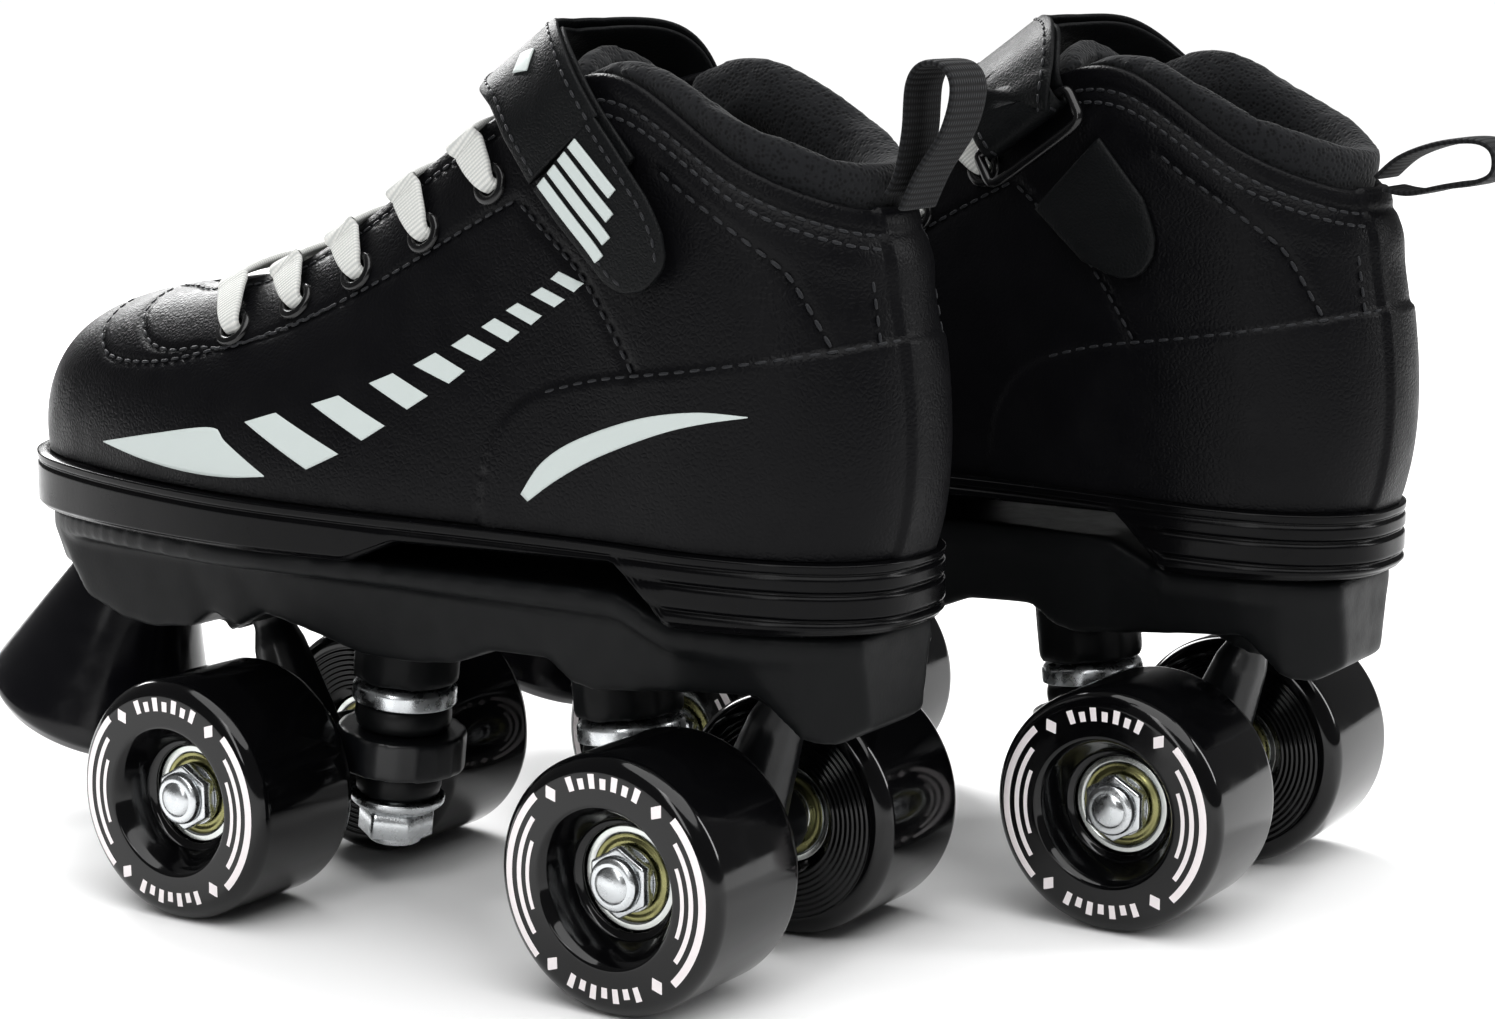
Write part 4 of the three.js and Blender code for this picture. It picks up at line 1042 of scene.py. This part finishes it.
def strap_layer(lift, starts):
    """Middle line of one layer: up the outer side, over the instep, to the inner shoulder."""
    starts = np.array(starts)
    line = list(on_skin(-1, starts[:, 0], starts[:, 1], LIFT + lift + starts[:, 2])[0])
    rise = unit(np.stack([OVER[:, 0] / 26, np.full(5, 0.35), np.full(5, 0.75)], 1))
    line += list(OVER + rise * lift)
    line.append(on_skin(1, np.array([-25.5]), np.array([180.0]), np.array([LIFT + 3.1 + lift]))[0][0])
    return np.array(line)


def strap_line():
    """The whole middle line: lower layer, the turn round the ring's bar, and the upper layer back."""
    turn = []
    for a in (-0.75, -0.5, -0.25, 0, 0.25, 0.5, 0.75):
        if abs(a) > 0.5:
            turn.append(BAR_P + BAR_N * TURN_R * np.sign(a) - 3.5 * BAR_DOWN)
        else:
            turn.append(BAR_P + BAR_N * TURN_R * np.sin(np.pi * a) + BAR_DOWN * TURN_R * np.cos(np.pi * a))
    return np.concatenate([strap_layer(0, SEWN_IN), turn, strap_layer(LAYER, SEWN_IN[1:])[::-1]])


STRAP_KEYS = strap_line()
STRAP_PATH = spline(STRAP_KEYS, np.linspace(0, len(STRAP_KEYS) - 1, 14 * len(STRAP_KEYS)))
STRAP_ACROSS = np.broadcast_to(ACROSS, STRAP_PATH.shape)
END_PATH = along(on_skin(-1, STRAP_END[:, 0], STRAP_END[:, 1], np.full(5, LIFT + LAYER + 0.3))[0], 60)
END_SHARE = np.linspace(0, 1, 60)
END_WIDTH = np.interp(END_SHARE, [0, 0.3, 0.6, 0.8, 0.9, 0.96, 1], [21, 20.5, 19.5, 17.5, 14.5, 10.5, 3])


def edge_rows(path, width, inset, lift, first=0.0, last=1.0, side_of=(-1, 1)):
    """Stitch rows near both edges of a tape, on its upper face."""
    ahead = unit(np.gradient(path, axis=0))
    wide = unit(ACROSS - ahead * (ahead @ ACROSS)[:, None])
    up = np.cross(ahead, wide)
    keep = slice(int(first * len(path)), int(last * len(path)))
    rows = []
    for sign in side_of:
        line = path + wide * sign * (np.broadcast_to(width, len(path)) / 2 - inset)[:, None] + up * lift
        rows.append(beads(line[keep], up[keep], pitch=2.8, length=2.0, width=0.7, height=0.5))
    return rows


STRAP_BAND = band(STRAP_PATH, STRAP_ACROSS, STRAP_W, STRAP_T, 0.0, 40)
END_BAND = band(END_PATH, np.broadcast_to(ACROSS, END_PATH.shape), END_WIDTH, STRAP_T, 0.0, 40)
STRAP_ROWS = edge_rows(STRAP_PATH, STRAP_W, 2.2, STRAP_T / 2 * 1.0, 0.52, 1.0)
END_ROWS = edge_rows(END_PATH, END_WIDTH, 2.2, STRAP_T / 2 * 1.0, 0.0, 0.93)
for side in SIDES:
    strap = build(f"{side}_instep_band", side, [STRAP_BAND], f"{side}_skate", STRAP_LEATHER)
    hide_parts(f"{side}_instep_strap")
    flap = build(f"{side}_strap_flap_leather", side, [END_BAND], f"{side}_strap_flap",
                 STRAP_LEATHER)
    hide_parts(f"{side}_strap_end")
    build_beads(f"{side}_instep_stitching", side, STRAP_ROWS, f"{side}_skate", THREAD)
    build_beads(f"{side}_flap_stitching", side, END_ROWS, f"{side}_strap_flap", THREAD)

# %% Stripes on the flap and the mark over the instep
STRIPES = [(3.4, 15.5), (-0.2, 18.5), (-3.8, 21.5), (-7.4, 23.5)]  # offset across and length, mm
STRIPE_W = 2.4


def on_band(path, offset, run, lift):
    """Points on a tape's upper face at offsets across and distances along."""
    ahead = unit(np.gradient(path, axis=0))
    wide = unit(ACROSS - ahead * (ahead @ ACROSS)[:, None])
    up = np.cross(ahead, wide)
    length = np.r_[0, np.cumsum(np.linalg.norm(np.diff(path, axis=0), axis=1))]
    pick = lambda rows: np.stack([np.interp(run, length, rows[:, k]) for k in range(3)], -1)
    return pick(path) + pick(wide) * offset[..., None] + pick(up) * lift


def stripe_parts():
    """Four slim stripes, each starting at the seam and longer than the one above."""
    parts = []
    for middle, length in STRIPES:
        s, a = np.meshgrid(np.linspace(0.6, length, 30), np.linspace(-0.5, 0.5, 7), indexing="ij")
        lean = 1.1 * (s - 0.6) / length
        parts += slab(on_band(END_PATH, middle + lean + a * STRIPE_W, s, STRAP_T / 2 + 0.45), 0.4)
    return parts


def mark_parts():
    """A plain diamond on the top layer, where the strap comes over the front edge."""
    length = np.linalg.norm(np.diff(STRAP_PATH, axis=0), axis=1).sum()
    s, a = np.meshgrid(np.linspace(-1, 1, 25), np.linspace(-1, 1, 9), indexing="ij")
    return slab(on_band(STRAP_PATH, 1.0 + a * 3.4 * (1 - np.abs(s) * 0.96), length - 24 + s * 3.4,
                        STRAP_T / 2 + 0.3), 0.3)


STRIPE_PARTS, MARK_PARTS = stripe_parts(), mark_parts()
for side in SIDES:
    build(f"{side}_flap_stripes", side, STRIPE_PARTS, f"{side}_strap_flap", BAR_FILM)
    build(f"{side}_strap_mark", side, MARK_PARTS, f"{side}_skate", BAR_FILM)

# %% Ring, anchor tab and pull loops
RING_WIDE, RING_DEEP = 29.0, 9.0
ANCHOR = np.array([[-56.5, 142.5, 12], [-52, 149, 18], [-44.5, 156.5, 21], [-37.5, 163, 22]])
LOOP_UP = [[-101.2, 160.8], [-104.8, 168], [-110.2, 176], [-112.4, 184], [-110.4, 188.4],
           [-105.6, 189], [-102.6, 185.2], [-101.8, 176], [-100.2, 168], [-97.9, 163.4]]
LOOP_BACK = [[-101.2, 160.8], [-106.5, 160.2], [-114, 161.8], [-121, 163], [-124.8, 165.2],
             [-124.6, 169.6], [-120.6, 171.6], [-112.5, 170.8], [-104.5, 167.8], [-99.3, 163.4]]


def ring_parts():
    """A round wire bent to a rectangle with rounded corners: a closed superellipse path, tube radius 1.2."""
    angle = np.linspace(0, 2 * np.pi, 121)
    a = np.sign(np.cos(angle)) * np.abs(np.cos(angle)) ** 0.3 * (RING_WIDE / 2 - RING_WIRE)
    d = np.sign(np.sin(angle)) * np.abs(np.sin(angle)) ** 0.3 * RING_DEEP / 2 + RING_DEEP / 2
    path = BAR_P + a[:, None] * ACROSS + d[:, None] * BAR_DOWN
    ahead = np.roll(path[:-1], -1, 0) - np.roll(path[:-1], 1, 0)
    ahead = unit(np.concatenate([ahead, ahead[:1]]))
    beside = np.cross(ahead, BAR_N)
    turn = np.linspace(0, 2 * np.pi, 17)
    section = np.cos(turn)[None, :, None] * beside[:, None] + np.sin(turn)[None, :, None] * BAR_N
    grid = path[:, None] + RING_WIRE * section
    return [(grid, numbered(grid))]


RING_PARTS = ring_parts()
ANCHOR_PATH = along(on_skin(1, ANCHOR[:, 0], ANCHOR[:, 1], np.full(4, 1.9))[0], 40)
ANCHOR_WIDTH = np.interp(np.linspace(0, 1, 40), [0, 0.05, 0.15, 0.4, 1], [3, 9, 14, 20, 22])
ANCHOR_BAND = band(ANCHOR_PATH, np.broadcast_to(ACROSS, ANCHOR_PATH.shape), ANCHOR_WIDTH, 1.9, 0.0, 32)
ANCHOR_ROWS = edge_rows(ANCHOR_PATH[::-1], ANCHOR_WIDTH[::-1], 2.0, 0.95, 0.1, 0.97)
WEB_WIDE, WEB_THICK = 14.0, 1.3
for side, route in (("left", LOOP_UP), ("right", LOOP_BACK)):
    ring = build(f"{side}_strap_wire_ring", side, RING_PARTS, f"{side}_skate", ENAMEL)
    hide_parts(f"{side}_strap_ring")
    tab = build(f"{side}_anchor_tab", side, [ANCHOR_BAND], f"{side}_skate", STRAP_LEATHER)
    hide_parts(f"{side}_strap_anchor")
    build_beads(f"{side}_anchor_stitching", side, ANCHOR_ROWS, f"{side}_skate", THREAD)
    line = along(route, 120)
    path = np.c_[np.zeros(len(line)), line]
    web = band(path, np.tile([1.0, 0, 0], (len(path), 1)), WEB_WIDE, WEB_THICK, 0.0, 28)
    loop = build(f"{side}_webbing_loop", side, [web], f"{side}_skate", WEBBING)
    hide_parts(f"{side}_heel_pull_loop")

# %% [markdown]
# ## Sole, plate and toe stop
# The sole is one glossy moulding: a rim with a raised lip under the leather and, behind the arch, a deep
# heel block with two grooves. The plate under it is moulded nylon, so its corners are soft: the packed
# solid is remeshed and smoothed, as a worn mould would leave it.

# %% Sole
SOLE_UNDER = [[-62, 77], [-50, 89], [2, 89], [14, 84]]


def sole_parts():
    """Rings of the sole from the foot bed out over the lip, down the rim and across the bottom."""
    phi = np.linspace(0, 2 * np.pi, 481)
    t = np.where(phi <= np.pi, phi, 2 * np.pi - phi)
    half = np.where(phi <= np.pi, -1.0, 1.0)
    edge, _ = outline(half, t)
    y = edge[:, 1]
    top = rim_top(y)
    under = ramp(SOLE_UNDER, y)
    heel = smooth_step((-50 - y) / 8)
    deep = top - under
    shares = np.r_[0.0, np.linspace(0.02, 0.98, 60), 1.0]
    rings = []
    for inset, height in ((40, -0.4), (12, -0.4), (4.6, -0.4), (3.2, -0.2), (2.2, 0.0), (1.2, 0.0),
                          (0.5, -0.25)):
        ring, _ = outline(half, t, min(inset, 40))
        ring = np.where(inset > 20, ring * [0.25, 1] + [0, 0], ring)
        rings.append(np.c_[ring, top + height])
    for share in shares:
        z = top - 0.4 - share * (deep - 1.0)
        down = top - z
        lip = 0.55 * np.exp(-(((down - 2.4) / 0.5) ** 2))
        groove = heel * (0.8 * np.exp(-(((down - 6.2) / 0.55) ** 2)) + 0.8
                         * np.exp(-(((down - 11.6) / 0.55) ** 2)))
        round_low = 1.0 * smooth_step((share - 0.9) / 0.1)
        ring, _ = outline(half, t, 0.0)
        _, out = outline(half, t)
        ring = ring - out * (lip + groove + round_low)[:, None]
        rings.append(np.c_[ring, z])
    for inset in (2.2, 8, 40):
        ring, _ = outline(half, t, min(inset, 40))
        ring = np.where(inset > 20, ring * [0.05, 1], ring)
        rings.append(np.c_[ring, under])
    grid = np.stack(rings)
    return [(grid, numbered(grid))]


SOLE = sole_parts()
for side in SIDES:
    sole = build(f"{side}_moulded_sole", side, SOLE, f"{side}_skate", SOLE_RUBBER)
    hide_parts(f"{side}_sole_unit")


# %% Plate and hangers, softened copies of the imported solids
def softened(node_name, name, body, finish, voxel_mm, passes):
    """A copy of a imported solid: doubled points merged, remeshed in small cubes, then relaxed."""
    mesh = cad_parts[node_name].data.copy()
    made = bmesh.new()
    made.from_mesh(mesh)
    bmesh.ops.remove_doubles(made, verts=made.verts, dist=1e-5)
    bmesh.ops.recalc_face_normals(made, faces=made.faces)
    made.to_mesh(mesh)
    made.free()
    mesh.materials.clear()
    mesh.materials.append(finish)
    piece = bpy.data.objects.new(name, mesh)
    bpy.context.scene.collection.objects.link(piece)
    remesh = piece.modifiers.new("cubes", "REMESH")
    remesh.mode, remesh.voxel_size = "VOXEL", voxel_mm * MM
    relax = piece.modifiers.new("relax", "SMOOTH")
    relax.factor, relax.iterations = 0.5, passes
    depsgraph = bpy.context.evaluated_depsgraph_get()
    baked = bpy.data.meshes.new_from_object(piece.evaluated_get(depsgraph))
    piece.modifiers.clear()
    piece.data = baked
    baked.polygons.foreach_set("use_smooth", np.full(len(baked.polygons), True))
    baked.materials.clear()
    baked.materials.append(finish)
    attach(piece, body)
    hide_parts(node_name)
    return piece


for side in SIDES:
    plate = softened(f"{side}_chassis", f"{side}_moulded_plate", f"{side}_skate", NYLON, 1.1,
                     8)
    for end in ENDS:
        softened(f"{side}_{end}_hanger", f"{side}_{end}_cast_hanger", f"{side}_{end}_truck",
                 TRUCK_PAINT, 0.6, 6)
print("plate faces:", len(plate.data.polygons))

# %% Toe stop
STOP_TOP, STOP_AXIS = np.array([0, 113.6, 64.4]), np.array([0, 0.394, -0.919])
STOP_PROFILE = rounded([[0, 0], [14.5, 0], [26.4, 31.2], [27.0, 34.3], [23.4, 38.6], [0, 38.6]], 2.2, 9)
for side in SIDES:
    stop = build(f"{side}_cast_toe_stop", side, [turned(STOP_PROFILE, STOP_TOP, STOP_AXIS, 120)],
                 f"{side}_skate",
                 STOP_RUBBER)
    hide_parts(f"{side}_toe_stop")

# %% [markdown]
# ## Trucks
# A kingpin hangs from the plate. Between its plated cups two rubber cushions squeeze the hanger's ring,
# and a lock nut closes the stack. All of them are turned shapes round the leaning kingpin axis.

# %% Kingpin, cups, cushions and nut
def on_kingpin(z, sign):
    """The kingpin's axis at a height."""
    return np.array([0.0, sign * (31.4 + (46.3 - z) * 0.1138), z])


def hexagon(flats, start, axis, height, columns=96):
    """A hexagonal prism with softened corners: radius flats/2 / cos(angle from the nearest flat)."""
    grid, cloth = turned(rounded([[0, 0], [1, 0], [1, height], [0, height]], 0.35, 5), start, axis, columns)
    angle = np.linspace(0, 2 * np.pi, columns + 1)
    fold = (angle + np.pi / 6) % (np.pi / 3) - np.pi / 6
    reach = np.minimum(flats / 2 / np.cos(fold), flats / np.sqrt(3) * 0.985)
    middle = np.asarray(start) + unit(axis) * ((grid - start) @ unit(axis))[..., None]
    return middle + (grid - middle) * reach[None, :, None], cloth


KINGPIN_DOWN = {1: unit(on_kingpin(0, 1) - on_kingpin(60, 1)),
                -1: unit(on_kingpin(0, -1) - on_kingpin(60, -1))}
CUP_TOP = rounded([[5, 0], [10.6, 0], [11.8, 1.2], [11.8, 4.7], [11.0, 4.7], [10.8, 3.2], [5, 3.0]], 0.7, 5)
CUP_LOW = rounded([[5, 0.6], [9.2, 0.6], [9.8, 0], [10.8, 0], [10.8, 1.5], [8.6, 3.4], [5, 3.4]], 0.6, 5)


def cushion_profile(radius, height):
    """A cushion bulges a little where it is squeezed."""
    s = np.linspace(0, 1, 16)
    side = np.c_[radius - 0.9 + 0.9 * np.sin(np.pi * s) ** 0.5, s * height]
    return np.r_[[[5.2, 0]], side, [[5.2, height]]]


for side in SIDES:
    for end, sign in (("front", 1), ("rear", -1)):
        down = KINGPIN_DOWN[sign]
        pin = [turned(rounded([[0, 0], [4.9, 0], [4.9, 48.6], [3.9, 49.4], [0, 49.4]], 0.5),
                      on_kingpin(60, sign), down, 48),
               turned(CUP_TOP, on_kingpin(49, sign), down, 96),
               turned(CUP_LOW, on_kingpin(22.2, sign), down, 96),
               hexagon(15.0, on_kingpin(18.8, sign), down, 6.2),
               turned(rounded([[4, 0], [6.3, 0], [6.0, 1.6], [4, 1.8]], 0.5), on_kingpin(12.7, sign), down,
                      64)]
        piece = build(f"{side}_{end}_kingpin_stack", side, pin, f"{side}_skate", ZINC)
        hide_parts(f"{side}_{end}_kingpin")
        for name, high, low, radius in (("upper", 44, 38.3, 11.0), ("lower", 28.6, 22.5, 9.8)):
            start = on_kingpin(high, sign)
            height = np.linalg.norm(start - on_kingpin(low, sign))
            ring = build(f"{side}_{end}_{name}_bushing", side,
                         [turned(cushion_profile(radius, height), start, down, 80)],
                         f"{side}_skate", CUSHION_RUBBER)
            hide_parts(f"{side}_{end}_{name}_cushion")
            fixed = stand(side, on_kingpin(high if name == "upper" else low, sign)[None])[0]
            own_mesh(ring)

# %% [markdown]
# ## Wheels
# A wheel is cast in urethane and turned: a glossy tread, round shoulders, a flat face and a cone down to
# the bearing. The inner face carries fine turned rings. The print sits on the outer face and follows its
# profile. Two bearings, the axle's nut and its washer fill the middle.

# %% Wheel, print and bearings
WHEEL_R, WHEEL_IN, WHEEL_OUT, AXLE_Y = 27.0, 16.1, 48.6, 59.0
SHOULDER = 3.9
ARC = np.linspace(0, np.pi / 2, 12)


def outer_face(r):
    """Distance of the outer face at radius r: flat, then the shoulder's quarter circle."""
    over = np.clip(r - (WHEEL_R - SHOULDER), 0, SHOULDER)
    return WHEEL_OUT - SHOULDER + np.sqrt(np.maximum(SHOULDER ** 2 - over ** 2, 0))


def wheel_profile():
    """Radius and distance from the inner bearing seat, over the tread, to the outer bearing seat."""
    rings = np.linspace(13.4, 22.9, 110)
    face = WHEEL_IN + 0.28 * (0.5 - 0.5 * np.cos(2 * np.pi * (rings - 13.4) / 1.19)) + 0.5 * (rings < 13.4)
    inner_round = np.c_[WHEEL_R - SHOULDER + SHOULDER * np.sin(ARC),
                        WHEEL_IN + SHOULDER - SHOULDER * np.cos(ARC)]
    outer_round = np.c_[WHEEL_R - SHOULDER + SHOULDER * np.cos(ARC),
                        WHEEL_OUT - SHOULDER + SHOULDER * np.sin(ARC)]
    cone = rounded([[17.8, WHEEL_OUT], [16.6, WHEEL_OUT], [15.6, WHEEL_OUT - 1.4], [12.6, 40.9],
                    [11.2, 40.3], [11.2, 39.6]],
                   0.8, 6)
    hub = rounded([[11.2, WHEEL_IN + 2.0], [12.6, WHEEL_IN + 0.8], [13.4, WHEEL_IN]], 0.5, 4)
    return np.r_[hub, np.c_[rings, face], inner_round, outer_round, cone]


def print_parts(sign, y):
    """Arcs, short ticks and diamonds as film patches in polar coordinates on the outer face."""
    parts = []

    def polar(radius, angle):
        x = sign * (outer_face(radius) + 0.07)
        grid = np.stack([x, y + radius * np.cos(angle), WHEEL_R + radius * np.sin(angle)], -1)
        parts.append((grid, numbered(grid)))

    def arc(inner, outer, middle, spread, steps=40):
        polar(*np.meshgrid(np.linspace(inner, outer, 5),
                           np.radians(np.linspace(middle - spread, middle + spread, steps)),
                           indexing="ij"))

    for middle in (0, 180):
        arc(22.8, 24.4, middle, 45)
        arc(20.5, 21.6, middle, 35)
        arc(18.5, 19.4, middle, 22)
    for middle in (90, 270):
        for tick in range(-3, 4):
            arc(20.4, 23.4 if tick % 2 else 22.6, middle + 7.2 * tick, 1.9, 8)
        for corner in (-36, 36):
            s, a = np.meshgrid(np.linspace(-1, 1, 9), np.linspace(-1, 1, 9), indexing="ij")
            radius = 21.9 + 1.9 * s
            polar(radius, np.radians(middle + corner) + a * (1 - np.abs(s) * 0.95) * 1.5 / radius)
    return parts


BEARING_RINGS = {
    "ring": rounded([[9.2, 0.25], [9.6, 0], [11.0, 0.0], [11.0, 7.0], [9.2, 7.0]], 0.4, 5),
    "shield": rounded([[6.3, 0.55], [6.8, 0.4], [7.6, 0.35], [8.4, 0.75], [9.1, 0.6], [9.3, 0.4]], 0.3, 5),
    "core": rounded([[4.05, 7.0], [4.05, 0.0], [6.0, 0.0], [6.2, 0.5], [6.2, 6.5]], 0.3, 5),
}
WHEEL = wheel_profile()
for side in SIDES:
    for end, y in (("front", AXLE_Y), ("rear", -AXLE_Y)):
        centre = np.array([0.0, y, WHEEL_R])
        for place, sign in (("outer", -1), ("inner", 1)):
            axis, body = np.array([float(sign), 0, 0]), f"{side}_{end}_{place}"
            tyre = build(f"{body}_cast_wheel", side, [turned(WHEEL, centre, axis, 120)], body,
                         URETHANE)
            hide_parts(f"{body}_wheel")
            build(f"{body}_wheel_print", side, print_parts(sign, y), body, WHEEL_PRINT,
                  closed=False)
            rings, shields = [], []
            for start, way in ((18.7, 1), (39.5, -1)):
                foot = centre + axis * start
                rings += [turned(BEARING_RINGS["ring"], foot, axis * way, 96),
                          turned(BEARING_RINGS["core"], foot, axis * way, 64)]
                shields.append(turned(BEARING_RINGS["shield"], foot, axis * way, 96))
            steel = build(f"{body}_bearing_rings", side, rings, body, BEARING_STEEL)
            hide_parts(f"{body}_bearings")
            build(f"{body}_bearing_shields", side, shields, body, SHIELD, closed=False)

# %% Axles
AXLE_TIP, NUT_IN = 47.2, 40.0


def thread_profile(radius, start, stop, pitch):
    """A rod end with thread rings: the radius dips by 0.35 mm once every pitch."""
    h = np.linspace(start, stop, int((stop - start) / pitch * 8))
    dip = 0.35 * (0.5 - 0.5 * np.cos(2 * np.pi * (h - start) / pitch))
    tip = [[radius - 0.5, stop + 0.25], [radius - 1.2, stop + 0.7], [0, stop + 0.8]]
    return np.r_[[[0, start]], np.c_[radius - dip, h], tip]


for side in SIDES:
    for end, y in (("front", AXLE_Y), ("rear", -AXLE_Y)):
        parts = []
        for sign in (-1, 1):
            axis, centre = np.array([float(sign), 0, 0]), np.array([0.0, y, WHEEL_R])
            parts += [
                turned(thread_profile(3.95, 10.0, AXLE_TIP - 0.9, 1.0), centre, axis, 28),
                turned(rounded([[4, 0], [6.9, 0], [6.9, 0.9], [4, 0.9]], 0.2),
                       centre + axis * (NUT_IN - 0.35), axis, 64),
                hexagon(13.0, centre + axis * (NUT_IN + 0.5), axis, 3.6),
                turned(rounded([[3.9, 0], [5.9, 0], [5.6, 1.7], [4.7, 2.2], [3.9, 2.2]], 0.7),
                       centre + axis * (NUT_IN + 4.0),
                       axis, 64),
                turned(rounded([[4, 0], [6, 0], [6, 2.6], [4, 2.6]], 0.3), centre + axis * 15.8, axis, 48),
            ]
        axle = build(f"{side}_{end}_axle_and_nuts", side, parts, f"{side}_{end}_truck", ZINC)
        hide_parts(f"{side}_{end}_axle")

# %% [markdown]
# ## Inside the boot
# A brushed insole closes the bottom of the boot.

# %% Insole
def insole_parts():
    """A thin pad on the foot bed: the outline pulled in 6 mm, filled towards the middle line."""
    t = np.linspace(0.02, np.pi - 0.02, 90)
    left, right = outline(-1.0 + 0 * t, t, 6.5)[0], outline(1.0 + 0 * t, t, 6.5)[0]
    share = np.linspace(0, 1, 24)[:, None, None]
    flat = left[None] * (1 - share) + right[None] * share
    z = rim_top(flat[..., 1]) + 2.2
    top = np.concatenate([flat, z[..., None]], -1)
    return [(top, numbered(top)), (top[::-1] - [0, 0, 1.8], numbered(top))]


INSOLE = insole_parts()
for side in SIDES:
    build(f"{side}_insole", side, INSOLE, f"{side}_skate", LINING, closed=False)

# %% [markdown]
# ## Room, lights and camera
# A white product room: a pale floor that goes on behind the skates, one broad ceiling light, three soft
# panels for the highlights and a faint white surround. The camera stands low on the left skate's outer
# side.

# %% Floor
FLOOR_HALF = 60.0
FLOOR, floor_tree, floor_shader = new_finish("matt_floor_paint", "#F6F6F6", 0.9, Specular_IOR_Level=0.1)
floor_mesh = bpy.data.meshes.new("floor")
floor_mesh.from_pydata([(-FLOOR_HALF, -FLOOR_HALF, 0), (FLOOR_HALF, -FLOOR_HALF, 0),
                        (FLOOR_HALF, FLOOR_HALF, 0),
                        (-FLOOR_HALF, FLOOR_HALF, 0)], [], [(0, 1, 2, 3)])
floor_mesh.materials.append(FLOOR)
floor = bpy.data.objects.new("floor", floor_mesh)
bpy.context.scene.collection.objects.link(floor)

# %% Lights
world = bpy.data.worlds.new("white_room")
bpy.context.scene.world = world
world.use_nodes = True
world.node_tree.nodes["Background"].inputs["Color"].default_value = (1, 1, 1, 1)
world.node_tree.nodes["Background"].inputs["Strength"].default_value = 0.14


def soft_panel(name, place, target, size, power):
    """An area light of a size in metres that faces a point."""
    data = bpy.data.lights.new(name, "AREA")
    data.shape, data.size, data.size_y, data.energy = "RECTANGLE", size[0], size[1], power
    lamp = bpy.data.objects.new(name, data)
    lamp.location = place
    lamp.rotation_euler = (Vector(target) - Vector(place)).to_track_quat("-Z", "Y").to_euler()
    bpy.context.scene.collection.objects.link(lamp)
    return lamp


sky = bpy.data.lights.new("ceiling", "SUN")
sky.energy, sky.angle = 3.3, np.radians(70)
ceiling = bpy.data.objects.new("ceiling", sky)
ceiling.rotation_euler = (np.radians(12), np.radians(-8), 0)
bpy.context.scene.collection.objects.link(ceiling)
soft_panel("window_panel", (0.9, 1.6, 1.3), (0, 0, 0.12), (0.9, 1.4), 60)
soft_panel("side_panel", (-1.5, -0.3, 1.0), (0, 0, 0.1), (0.25, 1.2), 6)
soft_panel("rim_panel", (0.9, -1.4, 0.9), (0, 0, 0.1), (0.3, 1.0), 10)

# %% Camera
CAMERA_AT = stand("left", np.array([-521.84, -403.34, 205.8]))
YAW, PITCH, LENS = np.radians(33.24), np.radians(-9.92), 73.56
look = Vector((np.cos(PITCH) * np.cos(YAW), np.cos(PITCH) * np.sin(YAW), np.sin(PITCH)))
camera_data = bpy.data.cameras.new("camera")
camera_data.lens, camera_data.sensor_width = LENS, 36.0
camera = bpy.data.objects.new("camera", camera_data)
camera.location = CAMERA_AT
camera.rotation_euler = look.to_track_quat("-Z", "Y").to_euler()
bpy.context.scene.collection.objects.link(camera)
bpy.context.scene.camera = camera
bpy.context.scene.view_settings.view_transform = "Standard"
print("camera at", CAMERA_AT.round(4).tolist())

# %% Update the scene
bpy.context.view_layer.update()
